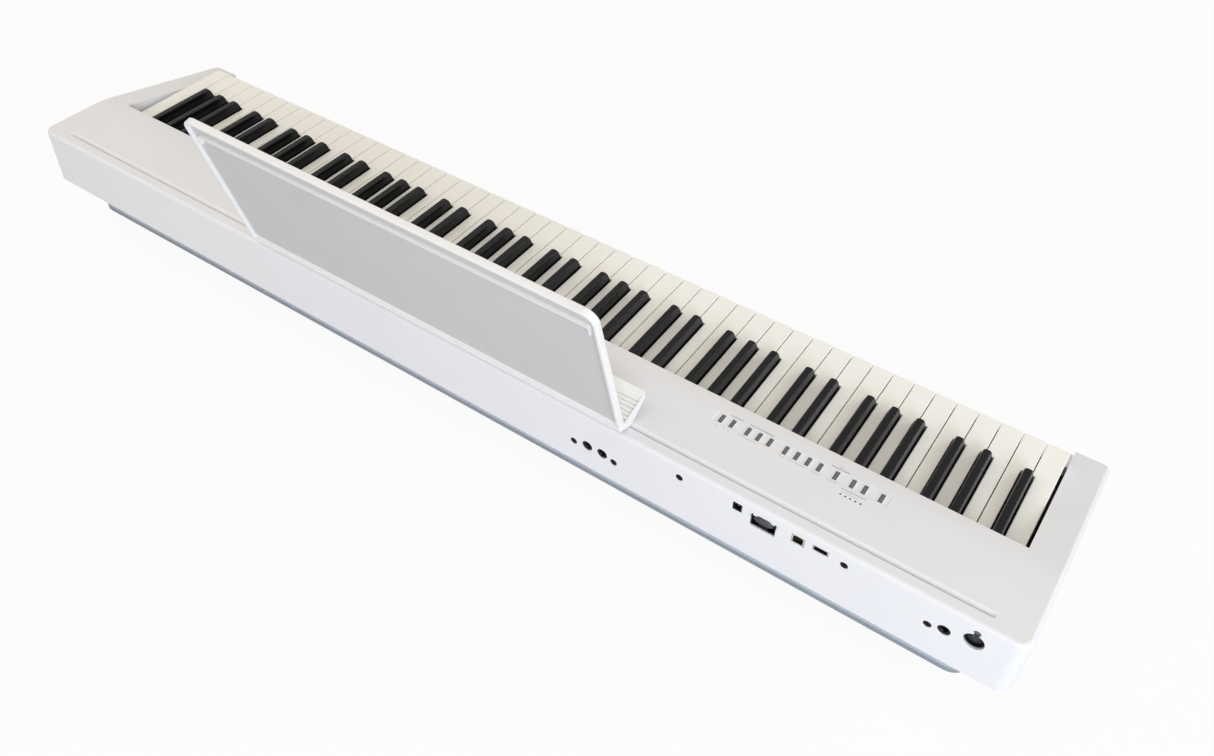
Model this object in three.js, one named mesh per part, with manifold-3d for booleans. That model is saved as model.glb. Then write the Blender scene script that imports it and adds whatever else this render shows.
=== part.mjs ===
// An 88-key digital piano slab with its lift-off music rest, in millimetres, Z up.
// X runs from the bass end (-) to the treble end (+), the player sits at -Y, the jacks are at +Y.
import * as THREE from 'three'
import { mergeVertices } from 'three/addons/utils/BufferGeometryUtils.js'
import Module from 'manifold-3d'

const wasm = await Module()
wasm.setup()

// ---------------------------------------------------------------- driving dimensions
const caseWidth = 1300
const caseDepth = 284
const caseHeight = 151 // floor to the flat top behind the keys
const fit = 0.3 // running gap between pieces that seat on each other

// upper case
const wall = 3
const caseBottom = 77 // lower edge of the white case above the floor
const rearCornerRadius = 14
const frontCornerRadius = 9
const topEdgeRadius = 5
const rearEdgeRadius = 4
const frontEdgeRadius = 6
const crestBehindPanel = 14 // panel edge to the line where the top starts to fall to the player
const crestRadius = 150
const topSlope = THREE.MathUtils.degToRad(11.5)

// keyboard
const whiteCount = 52
const movingWhiteCount = 7 // the lowest octave is built key by key
const keyPitch = 23.5
const keyGap = 1
const keyFrontSetback = 29 // case front to the key fronts
const keyVisibleLength = 151
const keyHeadLength = 50
const keyTopDrop = 19 // flat top of the case to the white key tops
const keyDepth = 20 // top to underside of a key
const blackRise = 12
const blackWidth = 10.6
const blackTopWidth = 7.2
const blackSlot = 14
const keySideClearance = 2.8
const keyPivotSetback = 67 // panel edge to the key pivot
const neckSpacing = 14.5 // what a key's pitch leaves beside its neck and hammer
const keySkin = 2.4
const keyWall = 1.7
const pivotBarRadius = 3

// key action
const trayLipHeight = 6
const sheet = 2
const chassisFloor = 62
const hammerPivotSetback = 16 // hammer pivot ahead of the panel edge
const hammerPivotZ = 78
const hammerBarRadius = 2.5
const hammerNoseReach = 30
const hammerTailReach = 73
const hatSetback = 56 // rear edge of the contact board's hat ahead of the panel edge

// bottom tray and feet
const footHeight = 15
const footRadius = 13
const footSetback = 62
const trayFloor = 3
const flangeBottom = 31
const flangeTop = 36
const flangeHalfWidth = 612
const flangeHalfDepth = 117
const flangeCornerRadius = 20
const speakerX = 470
const speakerRadius = 58
const speakerOpening = 50

// music rest
const restWidth = 504
const restCentreX = 7.5
const restPlateLength = 195.5
const restPlateDepth = 7.5
const restTilt = THREE.MathUtils.degToRad(16)
const ledgeRise = THREE.MathUtils.degToRad(19)
const ledgeLength = 42
const ledgeLip = 7.7
const slotSetback = 13.5 // rear face to the upright wall of the slot
const slotWidth = 6.7
const slotDepth = 6
const slotHalfLength = 614

// front panel buttons, counted from the treble side
const buttonGroups = [2, 3, 4, 1, 2, 1]
const buttonPitch = 12
const buttonGroupPitch = 17.2
const firstButtonX = -313
const buttonWidth = 3.8
const buttonLength = 11
const buttonRearSetback = 76.5
const buttonRecessDepth = 1.2
const buttonProud = 0.5
const buttonTravel = 1

// ---------------------------------------------------------------- places worked out from them
const halfWidth = caseWidth / 2
const rear = caseDepth / 2
const front = -rear
const keyTop = caseHeight - keyTopDrop
const keyBottom = keyTop - keyDepth
const keyFront = front + keyFrontSetback
const panelEdge = keyFront + keyVisibleLength
const keyboardHalf = (whiteCount * keyPitch) / 2
const cheekInner = keyboardHalf + keySideClearance
const pivotY = panelEdge + keyPivotSetback
const pivotZ = keyTop - 14
const keyNeckWidth = keyPitch - neckSpacing
const hammerWidth = keyNeckWidth
const hammerPivotY = panelEdge - hammerPivotSetback
const crestY = panelEdge + crestBehindPanel
const trayTop = caseBottom + trayLipHeight
const buttonY = rear - buttonRearSetback
const slotRear = rear - slotSetback

// ---------------------------------------------------------------- helpers for solids
function toSolid(geometry) {
  const bare = geometry.clone()
  bare.deleteAttribute('normal')
  bare.deleteAttribute('uv')
  const merged = mergeVertices(bare, 1e-4)
  return new wasm.Manifold(new wasm.Mesh({
    numProp: 3,
    vertProperties: new Float32Array(merged.attributes.position.array),
    triVerts: new Uint32Array(merged.index.array),
  }))
}

function toGeometry(solid) {
  const mesh = solid.getMesh()
  const geometry = new THREE.BufferGeometry()
  geometry.setAttribute('position', new THREE.BufferAttribute(new Float32Array(mesh.vertProperties), 3))
  geometry.setIndex(new THREE.BufferAttribute(new Uint32Array(mesh.triVerts), 1))
  geometry.computeVertexNormals()
  return geometry
}

const join = (first, ...rest) => rest.reduce((sum, solid) => sum.add(solid), first)
const cut = (base, ...tools) => tools.reduce((left, tool) => left.subtract(tool), base)

// A closed outline whose corners [a, b, radius] are rounded by arcs.
function outline(corners, steps = 3) {
  const points = []
  corners.forEach(([a, b, radius = 0], i) => {
    const here = new THREE.Vector2(a, b)
    if (!radius) {
      points.push(here)
      return
    }
    const before = corners[(i + corners.length - 1) % corners.length]
    const after = corners[(i + 1) % corners.length]
    const toBefore = new THREE.Vector2(before[0] - a, before[1] - b).normalize()
    const toAfter = new THREE.Vector2(after[0] - a, after[1] - b).normalize()
    const half = Math.acos(THREE.MathUtils.clamp(toBefore.dot(toAfter), -1, 1)) / 2
    const bisector = toBefore.clone().add(toAfter).normalize()
    const centre = here.clone().addScaledVector(bisector, radius / Math.sin(half))
    const start = here.clone().addScaledVector(toBefore, radius / Math.tan(half)).sub(centre)
    const turn = -Math.sign(toBefore.cross(toAfter)) * (Math.PI - 2 * half)
    for (let k = 0; k <= steps; k++) {
      points.push(start.clone().rotateAround(new THREE.Vector2(), (turn * k) / steps).add(centre))
    }
  })
  return points
}

function extrude(points, length) {
  return new THREE.ExtrudeGeometry(new THREE.Shape(points), { depth: length, bevelEnabled: false, steps: 1 })
}

// Prisms: a (y, z) outline along X, an (x, z) outline along Y and an (x, y) outline along Z.
function prismX(points, x0, x1) {
  const turn = new THREE.Matrix4().makeBasis(
    new THREE.Vector3(0, 1, 0), new THREE.Vector3(0, 0, 1), new THREE.Vector3(1, 0, 0))
  return toSolid(extrude(points, x1 - x0).applyMatrix4(turn).translate(x0, 0, 0))
}

function prismY(points, y0, y1) {
  return toSolid(extrude(points, y1 - y0).rotateX(Math.PI / 2).translate(0, y1, 0))
}

function prismZ(points, z0, z1) {
  return toSolid(extrude(points, z1 - z0).translate(0, 0, z0))
}

function block(x0, x1, y0, y1, z0, z1) {
  const box = new THREE.BoxGeometry(x1 - x0, y1 - y0, z1 - z0)
  return toSolid(box.translate((x0 + x1) / 2, (y0 + y1) / 2, (z0 + z1) / 2))
}

const rectangle = (a0, a1, b0, b1, radius = 0) => (
  outline([[a0, b0, radius], [a1, b0, radius], [a1, b1, radius], [a0, b1, radius]]))

function disc(a, b, radius, sides) {
  return Array.from({ length: sides }, (_, k) => {
    const angle = (2 * Math.PI * (k + 0.5)) / sides
    return new THREE.Vector2(a + radius * Math.cos(angle), b + radius * Math.sin(angle))
  })
}

const rodX = (y, z, radius, x0, x1, sides = 12) => prismX(disc(y, z, radius, sides), x0, x1)
const rodY = (x, z, radius, y0, y1, sides = 16) => prismY(disc(x, z, radius, sides), y0, y1)
const rodZ = (x, y, radius, z0, z1, sides = 16) => prismZ(disc(x, y, radius, sides), z0, z1)

// A band of constant thickness on the left of an open path, as bent sheet metal is.
function bentSheet(path, thickness) {
  const points = path.map(([a, b]) => new THREE.Vector2(a, b))
  const normals = points.slice(1).map((p, i) => {
    const d = p.clone().sub(points[i]).normalize()
    return new THREE.Vector2(-d.y, d.x)
  })
  const inner = points.map((p, i) => {
    const one = normals[Math.max(i - 1, 0)]
    const two = normals[Math.min(i, normals.length - 1)]
    const mitre = one.clone().add(two).normalize()
    return p.clone().addScaledVector(mitre, thickness / mitre.dot(one))
  })
  return [...points, ...inner.reverse()]
}

// A closed skin over rings of points that all have the same count.
function loft(rings) {
  const count = rings[0].length
  const positions = rings.flat().flatMap((p) => [p.x, p.y, p.z])
  const index = []
  for (let r = 0; r + 1 < rings.length; r++) {
    for (let i = 0; i < count; i++) {
      const a = r * count + i
      const b = r * count + ((i + 1) % count)
      index.push(a, b, a + count, b, b + count, a + count)
    }
  }
  const last = (rings.length - 1) * count
  for (let i = 1; i + 1 < count; i++) {
    index.push(0, i + 1, i, last, last + i, last + i + 1)
  }
  const geometry = new THREE.BufferGeometry()
  geometry.setAttribute('position', new THREE.Float32BufferAttribute(positions, 3))
  geometry.setIndex(index)
  return toSolid(geometry)
}

// Rounded rectangles [z, half x, half y, corner radius] stacked up Z.
function stackedLoft(levels, steps = 3) {
  return loft(levels.map(([z, hx, hy, radius]) => (
    outline([[-hx, -hy, radius], [hx, -hy, radius], [hx, hy, radius], [-hx, hy, radius]], steps)
      .map((p) => new THREE.Vector3(p.x, p.y, z)))))
}

function lathe(profile, segments, x, y, z) {
  const points = profile.map(([r, h]) => new THREE.Vector2(r, h))
  return toSolid(new THREE.LatheGeometry(points, segments).rotateX(Math.PI / 2).translate(x, y, z))
}

// ---------------------------------------------------------------- materials
function finish(color, roughness, metalness = 0) {
  return new THREE.MeshStandardMaterial({ color, roughness, metalness, flatShading: true })
}

const finishes = {
  caseWhite: finish(0xe9eaec, 0.45),
  trayGrey: finish(0x9aa2ab, 0.5),
  ivory: finish(0xf1efe6, 0.4),
  ebony: finish(0x232326, 0.45),
  steel: finish(0xb4b8bb, 0.4, 0.9),
  hammerGrey: finish(0x5c5f63, 0.6),
  boardGreen: finish(0x2c5a3c, 0.6),
  buttonGrey: finish(0x4a4b4d, 0.45),
  jackBlack: finish(0x18181a, 0.5),
  rubber: finish(0x202020, 0.85),
  coneBlack: finish(0x2b2b2d, 0.8),
}

const piano = new THREE.Group()

function place(parent, name, solid, material, position = [0, 0, 0]) {
  const mesh = new THREE.Mesh(toGeometry(solid), material)
  mesh.name = name
  mesh.position.set(...position)
  parent.add(mesh)
  return mesh
}

// ---------------------------------------------------------------- upper case
const arcRise = (radius, run) => Math.sqrt(Math.max(radius * radius - run * run, 0))

// Height of the moulded top over the depth, before its edges are rounded.
function topHeight(y) {
  const reach = crestRadius * Math.tan(topSlope / 2)
  const fromCrest = crestY - y
  if (fromCrest <= -reach) return caseHeight
  if (fromCrest >= reach) return caseHeight - fromCrest * Math.tan(topSlope)
  const run = fromCrest + reach
  return caseHeight - crestRadius + arcRise(crestRadius, Math.min(run, crestRadius * Math.sin(topSlope)))
}

// One (x, z) section of the case at a depth, drawn in from the outside by an inset.
function caseRing(y, inset, bottom) {
  const half = rear - inset
  const corner = (y > 0 ? rearCornerRadius : frontCornerRadius) - inset
  const lip = Math.max((y > 0 ? rearEdgeRadius : frontEdgeRadius) - inset, 1)
  const intoCorner = Math.max(Math.abs(y) - (half - corner), 0)
  const intoLip = Math.max(Math.abs(y) - (half - lip), 0)
  const x = halfWidth - inset - corner + arcRise(corner, intoCorner)
  const z = topHeight(y) - inset - lip + arcRise(lip, intoLip)
  const round = Math.max(topEdgeRadius - inset, 1)
  return outline([[-x, bottom], [x, bottom], [x, z, round], [-x, z, round]], 3)
    .map((p) => new THREE.Vector3(p.x, y, p.y))
}

function caseLoft(inset, bottom) {
  const half = rear - inset
  const reach = crestRadius * Math.tan(topSlope / 2)
  const cornerStops = (radius, side) => [15, 40, 65, 90].map((angle) => (
    side * (half - radius + inset + (radius - inset) * Math.sin(THREE.MathUtils.degToRad(angle)))))
  const crestStops = [-1, -0.5, 0, 0.5, 1].map((k) => crestY + k * reach)
  const stations = [
    ...cornerStops(rearCornerRadius, 1), half - Math.max(rearEdgeRadius - inset, 1),
    ...crestStops, ...cornerStops(frontCornerRadius, -1), -half + Math.max(frontEdgeRadius - inset, 1),
    half - rearCornerRadius + inset, -half + frontCornerRadius - inset,
  ].sort((a, b) => b - a).filter((y, i, all) => !i || all[i - 1] - y > 0.05)
  return loft(stations.map((y) => caseRing(y, inset, bottom)))
}

// Places of the rear connectors: x from the middle, z above the floor.
const outputJacks = [[-205, 108.5], [-223, 108.5]]
const pedalJack = [-581, 119.5]
const pedalSocket = [-606.5, 125.5]
const pedalLatch = [-606.5, 136.6]
const powerInlet = [-374.4, 136]
const usbComputer = [-437.4, 134.8]
const usbMemory = [-459.8, 136.8]
const cordHookPlace = [-402, 128.5]
const rearScrews = [[-188.6, 105.5], [-237, 105], [-311.2, 134.2], [-483.4, 134.2], [-566.5, 116]]
const phonesJack = [-625.5, 93]
const miniPhonesJack = [-637.5, 93]
const jackHole = 5.7
const miniJackHole = 3.6
const socketHole = 9.5
const latchHole = 3
const screwHole = 3.3
const inletSize = [9.4, 9.4]
const usbComputerSize = [12.4, 11.2]
const usbMemorySize = [14.4, 6.8]
const hookOpening = [26, 13]
const hookRecess = [34, 6, 1.6] // width, height and depth of the cord channel above the opening

const slotProfile = outline([
  [slotRear - slotWidth, caseHeight + 1], [slotRear - slotWidth, caseHeight],
  [slotRear - 2.6, caseHeight - slotDepth], [slotRear, caseHeight - slotDepth], [slotRear, caseHeight + 1],
])

// The groove that takes the foot of the music rest: vertical behind, sloped in front, with sloped ends.
function slotCutter() {
  const long = prismX(slotProfile, -slotHalfLength, slotHalfLength)
  const ends = outline([
    [-slotHalfLength + slotDepth, caseHeight - slotDepth - 1], [slotHalfLength - slotDepth, caseHeight - slotDepth - 1],
    [slotHalfLength + 1, caseHeight + 1.5], [-slotHalfLength - 1, caseHeight + 1.5],
  ])
  return long.intersect(prismY(ends, slotRear - slotWidth - 1, slotRear + 1))
}

const buttonXs = buttonGroups.flatMap((count, group) => {
  const before = buttonGroups.slice(0, group).reduce((sum, n) => sum + n - 1, 0)
  const start = firstButtonX - before * buttonPitch - group * buttonGroupPitch
  return Array.from({ length: count }, (_, k) => start - k * buttonPitch)
})
const recessEnd = 9
const recessSide = 1.4
const recessLow = Math.min(...buttonXs) - recessEnd
const recessHigh = Math.max(...buttonXs) + recessEnd
const recessFloor = caseHeight - buttonRecessDepth

function buttonRecess() {
  const y0 = buttonY - buttonLength / 2 - recessSide
  const y1 = buttonY + buttonLength / 2 + recessSide
  return loft([
    [caseHeight + 1, 2], [caseHeight, 1], [recessFloor, 0],
  ].map(([z, grow]) => rectangle(recessLow - grow, recessHigh + grow, y0 - grow, y1 + grow)
    .map((p) => new THREE.Vector3(p.x, p.y, z))).reverse())
}

function buttonHoles() {
  return buttonXs.map((x) => block(
    x - buttonWidth / 2 - fit, x + buttonWidth / 2 + fit,
    buttonY - buttonLength / 2 - fit, buttonY + buttonLength / 2 + fit,
    caseHeight - wall - 3, caseHeight + 1))
}

const through = [rear - wall - 1, rear + 1]
const slotIn = ([x, z], [width, height], radius = 0.8) => (
  prismY(rectangle(x - width / 2, x + width / 2, z - height / 2, z + height / 2, radius), ...through))

function rearOpenings() {
  const [hookX, hookZ] = cordHookPlace
  const recessZ = hookZ + hookOpening[1] / 2
  const recess = outline([
    [hookX - hookRecess[0] / 2, rear + 0.1], [hookX - hookRecess[0] / 2 + 5, rear - hookRecess[2]],
    [hookX + hookRecess[0] / 2 - 5, rear - hookRecess[2]], [hookX + hookRecess[0] / 2, rear + 0.1],
  ])
  return [
    ...outputJacks.map(([x, z]) => rodY(x, z, jackHole, ...through)),
    rodY(...pedalJack, jackHole, ...through),
    rodY(...pedalSocket, socketHole, ...through, 24),
    rodY(...pedalLatch, latchHole, ...through, 10),
    ...rearScrews.map(([x, z]) => rodY(x, z, screwHole, ...through, 10)),
    slotIn(powerInlet, inletSize),
    slotIn(usbComputer, usbComputerSize),
    slotIn(usbMemory, usbMemorySize, 0.5),
    slotIn(cordHookPlace, hookOpening),
    prismZ(recess, recessZ - 1, recessZ + hookRecess[1] - 1),
  ]
}

function phonesOpenings() {
  const reach = [front - 1, front + wall + 1]
  return [rodY(...phonesJack, jackHole, ...reach), rodY(...miniPhonesJack, miniJackHole, ...reach, 12)]
}

const mainBoardX = [-520, -330]
const mainBoardZ = usbComputer[1] - usbComputerSize[1] / 2 - 2.6
const panelBoardZ = 139
const boardThickness = 1.6
const panelBoardY = [buttonY - 17.5, buttonY + 22.5]
const panelBoardMiddle = (panelBoardY[0] + panelBoardY[1]) / 2
const panelPostXs = [recessLow - 8, (recessLow + recessHigh) / 2, recessHigh + 8]

// What stands on the inside of the shell: the slot's channel, screw bosses, board ribs and posts.
function caseInnerFeatures() {
  const channel = block(-slotHalfLength - wall, slotHalfLength + wall,
    slotRear - slotWidth - wall, slotRear + wall, caseHeight - slotDepth - wall + 0.4, caseHeight)
  const cheekWalls = [-1, 1].map((side) => {
    const edges = [side * cheekInner, side * (cheekInner + wall)].sort((a, b) => a - b)
    return block(...edges, front - 1, panelEdge + 20, trayTop + 1, caseHeight)
  })
  const boardRibs = [mainBoardX[0] + 6, cordHookPlace[0] - 19, mainBoardX[1] - 6].map((x) => (
    block(x - 1.5, x + 1.5, rear - 27, rear - 1, mainBoardZ - 9, mainBoardZ - fit)))
  const screwBosses = rearScrews.map(([x, z]) => rodY(x, z, 5.5, rear - 12, rear - 1, 10))
  const panelPosts = panelPostXs.flatMap((x) => panelBoardY.map((y) => (
    rodZ(x, y + Math.sign(panelBoardMiddle - y) * 5, 3, panelBoardZ + boardThickness + fit, caseHeight, 8))))
  return [channel, ...cheekWalls, ...boardRibs, ...screwBosses, ...panelPosts]
}

function upperCase() {
  const cavity = cut(caseLoft(wall, caseBottom - 10), ...caseInnerFeatures())
  const keyOpening = block(-cheekInner, cheekInner, front - 5, panelEdge, 0, 200)
  return cut(caseLoft(0, caseBottom), cavity, keyOpening, slotCutter(), buttonRecess(),
    ...buttonHoles(), ...rearOpenings(), ...phonesOpenings())
}

place(piano, 'upper_case', upperCase(), finishes.caseWhite)

// ---------------------------------------------------------------- bottom tray, feet and speakers
const lipInset = wall + fit
const lipHalfWidth = halfWidth - lipInset
const lipHalfDepth = rear - lipInset
const lipCorner = rearCornerRadius - lipInset
const hullStep = 5 // how far the hull stands in behind its flange
const trayFloorTop = footHeight + trayFloor
const bossPlaces = [-560, -280, 0, 280, 560].flatMap((x) => [[x, front + 50], [x, rear - 42]])

function bottomTray() {
  const outer = stackedLoft([
    [footHeight, flangeHalfWidth - 15, flangeHalfDepth - 15, flangeCornerRadius - 6],
    [footHeight + 3, flangeHalfWidth - 12, flangeHalfDepth - 12, flangeCornerRadius - 4],
    [flangeBottom, flangeHalfWidth, flangeHalfDepth, flangeCornerRadius],
    [flangeTop, flangeHalfWidth, flangeHalfDepth, flangeCornerRadius],
    [flangeTop, flangeHalfWidth - hullStep, flangeHalfDepth - hullStep, flangeCornerRadius - hullStep],
    [caseBottom, lipHalfWidth, lipHalfDepth, lipCorner],
    [trayTop, lipHalfWidth, lipHalfDepth, lipCorner],
  ])
  const inner = stackedLoft([
    [trayFloorTop, flangeHalfWidth - 16, flangeHalfDepth - 16, flangeCornerRadius - 7],
    [flangeTop, flangeHalfWidth - hullStep - wall, flangeHalfDepth - hullStep - wall, flangeCornerRadius - hullStep - wall],
    [caseBottom, lipHalfWidth - wall, lipHalfDepth - wall, lipCorner - wall],
    [trayTop + 1, lipHalfWidth - wall, lipHalfDepth - wall, lipCorner - wall],
  ])
  const bosses = bossPlaces.map(([x, y]) => rodZ(x, y, 6, footHeight + 1, chassisFloor - fit, 8))
  const openings = [-1, 1].map((side) => rodZ(side * speakerX, 0, speakerOpening, footHeight - 1, trayFloorTop + 1, 24))
  return cut(join(cut(outer, inner), ...bosses), ...openings)
}

place(piano, 'bottom_tray', bottomTray(), finishes.trayGrey)

const footProfile = [[0, 0], [footRadius - 1.5, 0], [footRadius, 2], [footRadius, footHeight - fit], [0, footHeight - fit]]
for (const [across, x] of [['left', -540], ['right', 540]]) {
  for (const [along, y] of [['front', front + footSetback], ['rear', rear - footSetback]]) {
    place(piano, `foot_${along}_${across}`, lathe(footProfile, 16, x, y, 0), finishes.rubber)
  }
}

function speaker(x) {
  const base = trayFloorTop + fit
  return lathe([
    [0, base + 22], [14, base + 20], [20, base + 18], [speakerOpening - 4, base + 3], [speakerOpening - 1, base],
    [speakerRadius, base], [speakerRadius, base + 2.5], [speakerOpening + 2, base + 3], [34, base + 27],
    [36, base + 27], [36, base + 41], [0, base + 41],
  ], 14, x, 0, 0)
}

function speakerGrille(x) {
  const plate = rodZ(x, 0, speakerOpening - fit, footHeight, trayFloorTop - fit, 24)
  const slots = [-3, -2, -1, 0, 1, 2, 3].map((k) => {
    const y = k * 11.5
    const half = arcRise(speakerOpening - 7, Math.abs(y) + 2)
    return block(x - half, x + half, y - 2.2, y + 2.2, footHeight - 1, trayFloorTop + 1)
  })
  return cut(plate, ...slots)
}

for (const [side, sign] of [['left', -1], ['right', 1]]) {
  place(piano, `speaker_${side}`, speaker(sign * speakerX), finishes.coneBlack)
  place(piano, `speaker_grille_${side}`, speakerGrille(sign * speakerX), finishes.trayGrey)
}

// ---------------------------------------------------------------- front rail below the keys
function frontRail() {
  const railTop = keyBottom - 2
  const back = keyFront - 2
  const skin = outline([
    [front + wall + fit, caseBottom], [front + wall, caseBottom + 1], [front + wall, railTop - 9, 3],
    [front + 8, railTop - wall - 1.5, 2], [back - wall + 0.5, railTop - wall],
    [back - wall + 0.5, railTop - 14], [back, railTop - 14], [back, railTop, 1],
    [front + 6, railTop - 1.5, 4], [front, railTop - 8, 3], [front, caseBottom + 2, 1.5], [front + 2, caseBottom],
  ])
  return prismX(skin, -cheekInner + fit, cheekInner - fit)
}

place(piano, 'front_rail', frontRail(), finishes.caseWhite)

// ---------------------------------------------------------------- keyboard layout
// How far each black key stands off the joint between its two white keys.
const blackOffset = { A: 3.5, C: -2.3, D: 2.3, F: -3.5, G: 0 }
const letterOf = (i) => 'ABCDEFG'[i % 7]
const octaveOf = (i) => Math.floor((i + 5) / 7)
const hasBlackAfter = (i) => i >= 0 && i < whiteCount - 1 && letterOf(i) in blackOffset
const jointX = (i) => -keyboardHalf + (i + 1) * keyPitch
const blackCentre = (i) => jointX(i) + blackOffset[letterOf(i)]

function whiteKeyEdges(i) {
  const left = jointX(i) - keyPitch + keyGap / 2
  const right = jointX(i) - keyGap / 2
  const tailLeft = hasBlackAfter(i - 1) ? blackCentre(i - 1) + blackSlot / 2 : left
  const tailRight = hasBlackAfter(i) ? blackCentre(i) - blackSlot / 2 : right
  return { left, right, tailLeft, tailRight, neck: (tailLeft + tailRight) / 2 }
}

const whiteKeys = Array.from({ length: whiteCount }, (_, i) => (
  { black: false, i, name: `${letterOf(i)}${octaveOf(i)}`, x: whiteKeyEdges(i).neck }))
const blackKeys = whiteKeys.filter((key) => hasBlackAfter(key.i)).map((key) => (
  { black: true, i: key.i, name: `${letterOf(key.i)}_sharp_${octaveOf(key.i)}`, x: blackCentre(key.i) }))
const allKeys = [...whiteKeys, ...blackKeys].sort((a, b) => a.x - b.x)
const isMoving = (key) => key.i < movingWhiteCount
const movingKeys = allKeys.filter(isMoving)
const fixedKeys = allKeys.filter((key) => !isMoving(key))

// Middles of the gaps between neighbouring key necks, where bars can be held up.
const movingGapXs = movingKeys.map((key, k) => (k ? (key.x + movingKeys[k - 1].x) / 2 : key.x - 9))
const webHalf = 1.2
const barEnds = [-keyboardHalf, keyboardHalf]

// ---------------------------------------------------------------- keys
const headEnd = keyFront + keyHeadLength
const neckStart = pivotY - 17
const keyRear = pivotY + 7
const neckTop = keyTop - 4
const blackFront = headEnd + 0.8
const blackTopEnd = panelEdge + 6
const blackCavity = blackRise - 5 // hollow above the level of the white key tops

function whitePlan(i) {
  const { left, right, tailLeft, tailRight, neck } = whiteKeyEdges(i)
  const corners = [[left, keyFront, 1.6], [right, keyFront, 1.6]]
  if (tailRight < right) corners.push([right, headEnd], [tailRight, headEnd])
  corners.push([tailRight, neckStart], [neck + keyNeckWidth / 2, neckStart], [neck + keyNeckWidth / 2, keyRear],
    [neck - keyNeckWidth / 2, keyRear], [neck - keyNeckWidth / 2, neckStart], [tailLeft, neckStart])
  if (tailLeft > left) corners.push([tailLeft, headEnd], [left, headEnd])
  return outline(corners, 2)
}

function restingWhitePlan(i) {
  const { left, right, tailLeft, tailRight } = whiteKeyEdges(i)
  const corners = [[left, keyFront, 1.6], [right, keyFront, 1.6]]
  if (tailRight < right) corners.push([right, headEnd], [tailRight, headEnd])
  corners.push([tailRight, keyRear], [tailLeft, keyRear])
  if (tailLeft > left) corners.push([tailLeft, headEnd], [left, headEnd])
  return outline(corners, 1)
}

const whiteSide = outline([
  [keyFront + 1.5, keyBottom], [keyRear, keyBottom], [keyRear, neckTop], [neckStart, neckTop],
  [neckStart, keyTop], [keyFront, keyTop, 1.5], [keyFront, keyBottom + 6],
], 2)

// Underside pockets that leave a moulded key with thin walls.
function whitePockets(i) {
  const { left, right, tailLeft, tailRight } = whiteKeyEdges(i)
  const top = keyTop - keySkin
  return join(
    block(left + keyWall, right - keyWall, keyFront + 2, headEnd - keyWall, keyBottom - 1, top),
    block(tailLeft + keyWall, tailRight - keyWall, keyFront + 3, neckStart - 3, keyBottom - 1, top))
}

// The open-bottomed bearing that drops over the pivot bar.
function bearingCutter(y, z, radius, drop, x0, x1) {
  const arc = Array.from({ length: 7 }, (_, k) => {
    const angle = (Math.PI * k) / 6
    return new THREE.Vector2(y + radius * Math.cos(angle), z + radius * Math.sin(angle))
  })
  return prismX([new THREE.Vector2(y + radius, z - drop), ...arc, new THREE.Vector2(y - radius, z - drop)], x0, x1)
}

const bearingRadius = pivotBarRadius + fit
const noseY = hammerPivotY - hammerNoseReach
const noseTop = hammerPivotZ + 6

// The finger under a key that pushes its hammer's nose down.
function pusher(x, top) {
  return block(x - 2.5, x + 2.5, noseY - 2.5, noseY + 2.5, noseTop + fit, top)
}

function whiteKey(i) {
  const { neck } = whiteKeyEdges(i)
  const body = prismZ(whitePlan(i), keyBottom, keyTop).intersect(prismX(whiteSide, -halfWidth, halfWidth))
  const hollow = cut(body, whitePockets(i))
  const bearing = bearingCutter(pivotY, pivotZ, bearingRadius, keyDepth, neck - keyNeckWidth, neck + keyNeckWidth)
  return cut(join(hollow, pusher(neck, keyTop - keySkin / 2)), bearing)
}

function blackSection(x) {
  const base = blackWidth / 2
  const top = blackTopWidth / 2
  const crown = keyTop + blackRise
  return [
    [-base, keyBottom], [base, keyBottom], [base, keyTop], [base - 0.7, crown - 2], [top, crown],
    [-top, crown], [-base + 0.7, crown - 2], [-base, keyTop],
  ].map(([a, z]) => new THREE.Vector2(x + a, z))
}

const blackSide = outline([
  [blackFront, keyBottom], [keyRear, keyBottom], [keyRear, neckTop], [blackTopEnd, neckTop],
  [blackTopEnd, keyTop + blackRise], [blackFront + 6, keyTop + blackRise, 5], [blackFront, keyTop + 1],
], 3)

// A black key that stays at rest, with its front and edges as single facets.
function restingBlackKey(x) {
  const base = blackWidth / 2
  const top = blackTopWidth / 2
  const crown = keyTop + blackRise
  const section = [[-base, keyBottom], [base, keyBottom], [base, keyTop], [top, crown], [-top, crown], [-base, keyTop]]
  const side = outline([
    [blackFront, keyBottom], [keyRear, keyBottom], [keyRear, neckTop], [blackTopEnd, neckTop],
    [blackTopEnd, crown], [blackFront + 5, crown], [blackFront, keyTop + 1],
  ])
  return prismY(section.map(([a, z]) => new THREE.Vector2(x + a, z)), blackFront - 1, keyRear + 1)
    .intersect(prismX(side, x - blackWidth, x + blackWidth))
}

function blackBody(x) {
  const raised = prismY(blackSection(x), blackFront - 1, keyRear + 1)
  const neckSides = join(
    block(x - blackWidth, x - keyNeckWidth / 2, neckStart, keyRear + 2, keyBottom - 1, keyTop + 1),
    block(x + keyNeckWidth / 2, x + blackWidth, neckStart, keyRear + 2, keyBottom - 1, keyTop + 1))
  return cut(raised.intersect(prismX(blackSide, x - blackWidth, x + blackWidth)), neckSides)
}

function blackKey(i) {
  const x = blackCentre(i)
  const inside = blackWidth / 2 - keyWall
  const hollow = cut(blackBody(x),
    block(x - inside, x + inside, blackFront + 2, blackTopEnd - keyWall, keyBottom - 1, keyTop + blackCavity),
    block(x - inside, x + inside, blackTopEnd - 4, neckStart - 3, keyBottom - 1, neckTop - keySkin))
  const bearing = bearingCutter(pivotY, pivotZ, bearingRadius, keyDepth, x - keyNeckWidth, x + keyNeckWidth)
  return cut(join(hollow, pusher(x, keyTop + blackCavity + 1)), bearing)
}

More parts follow.
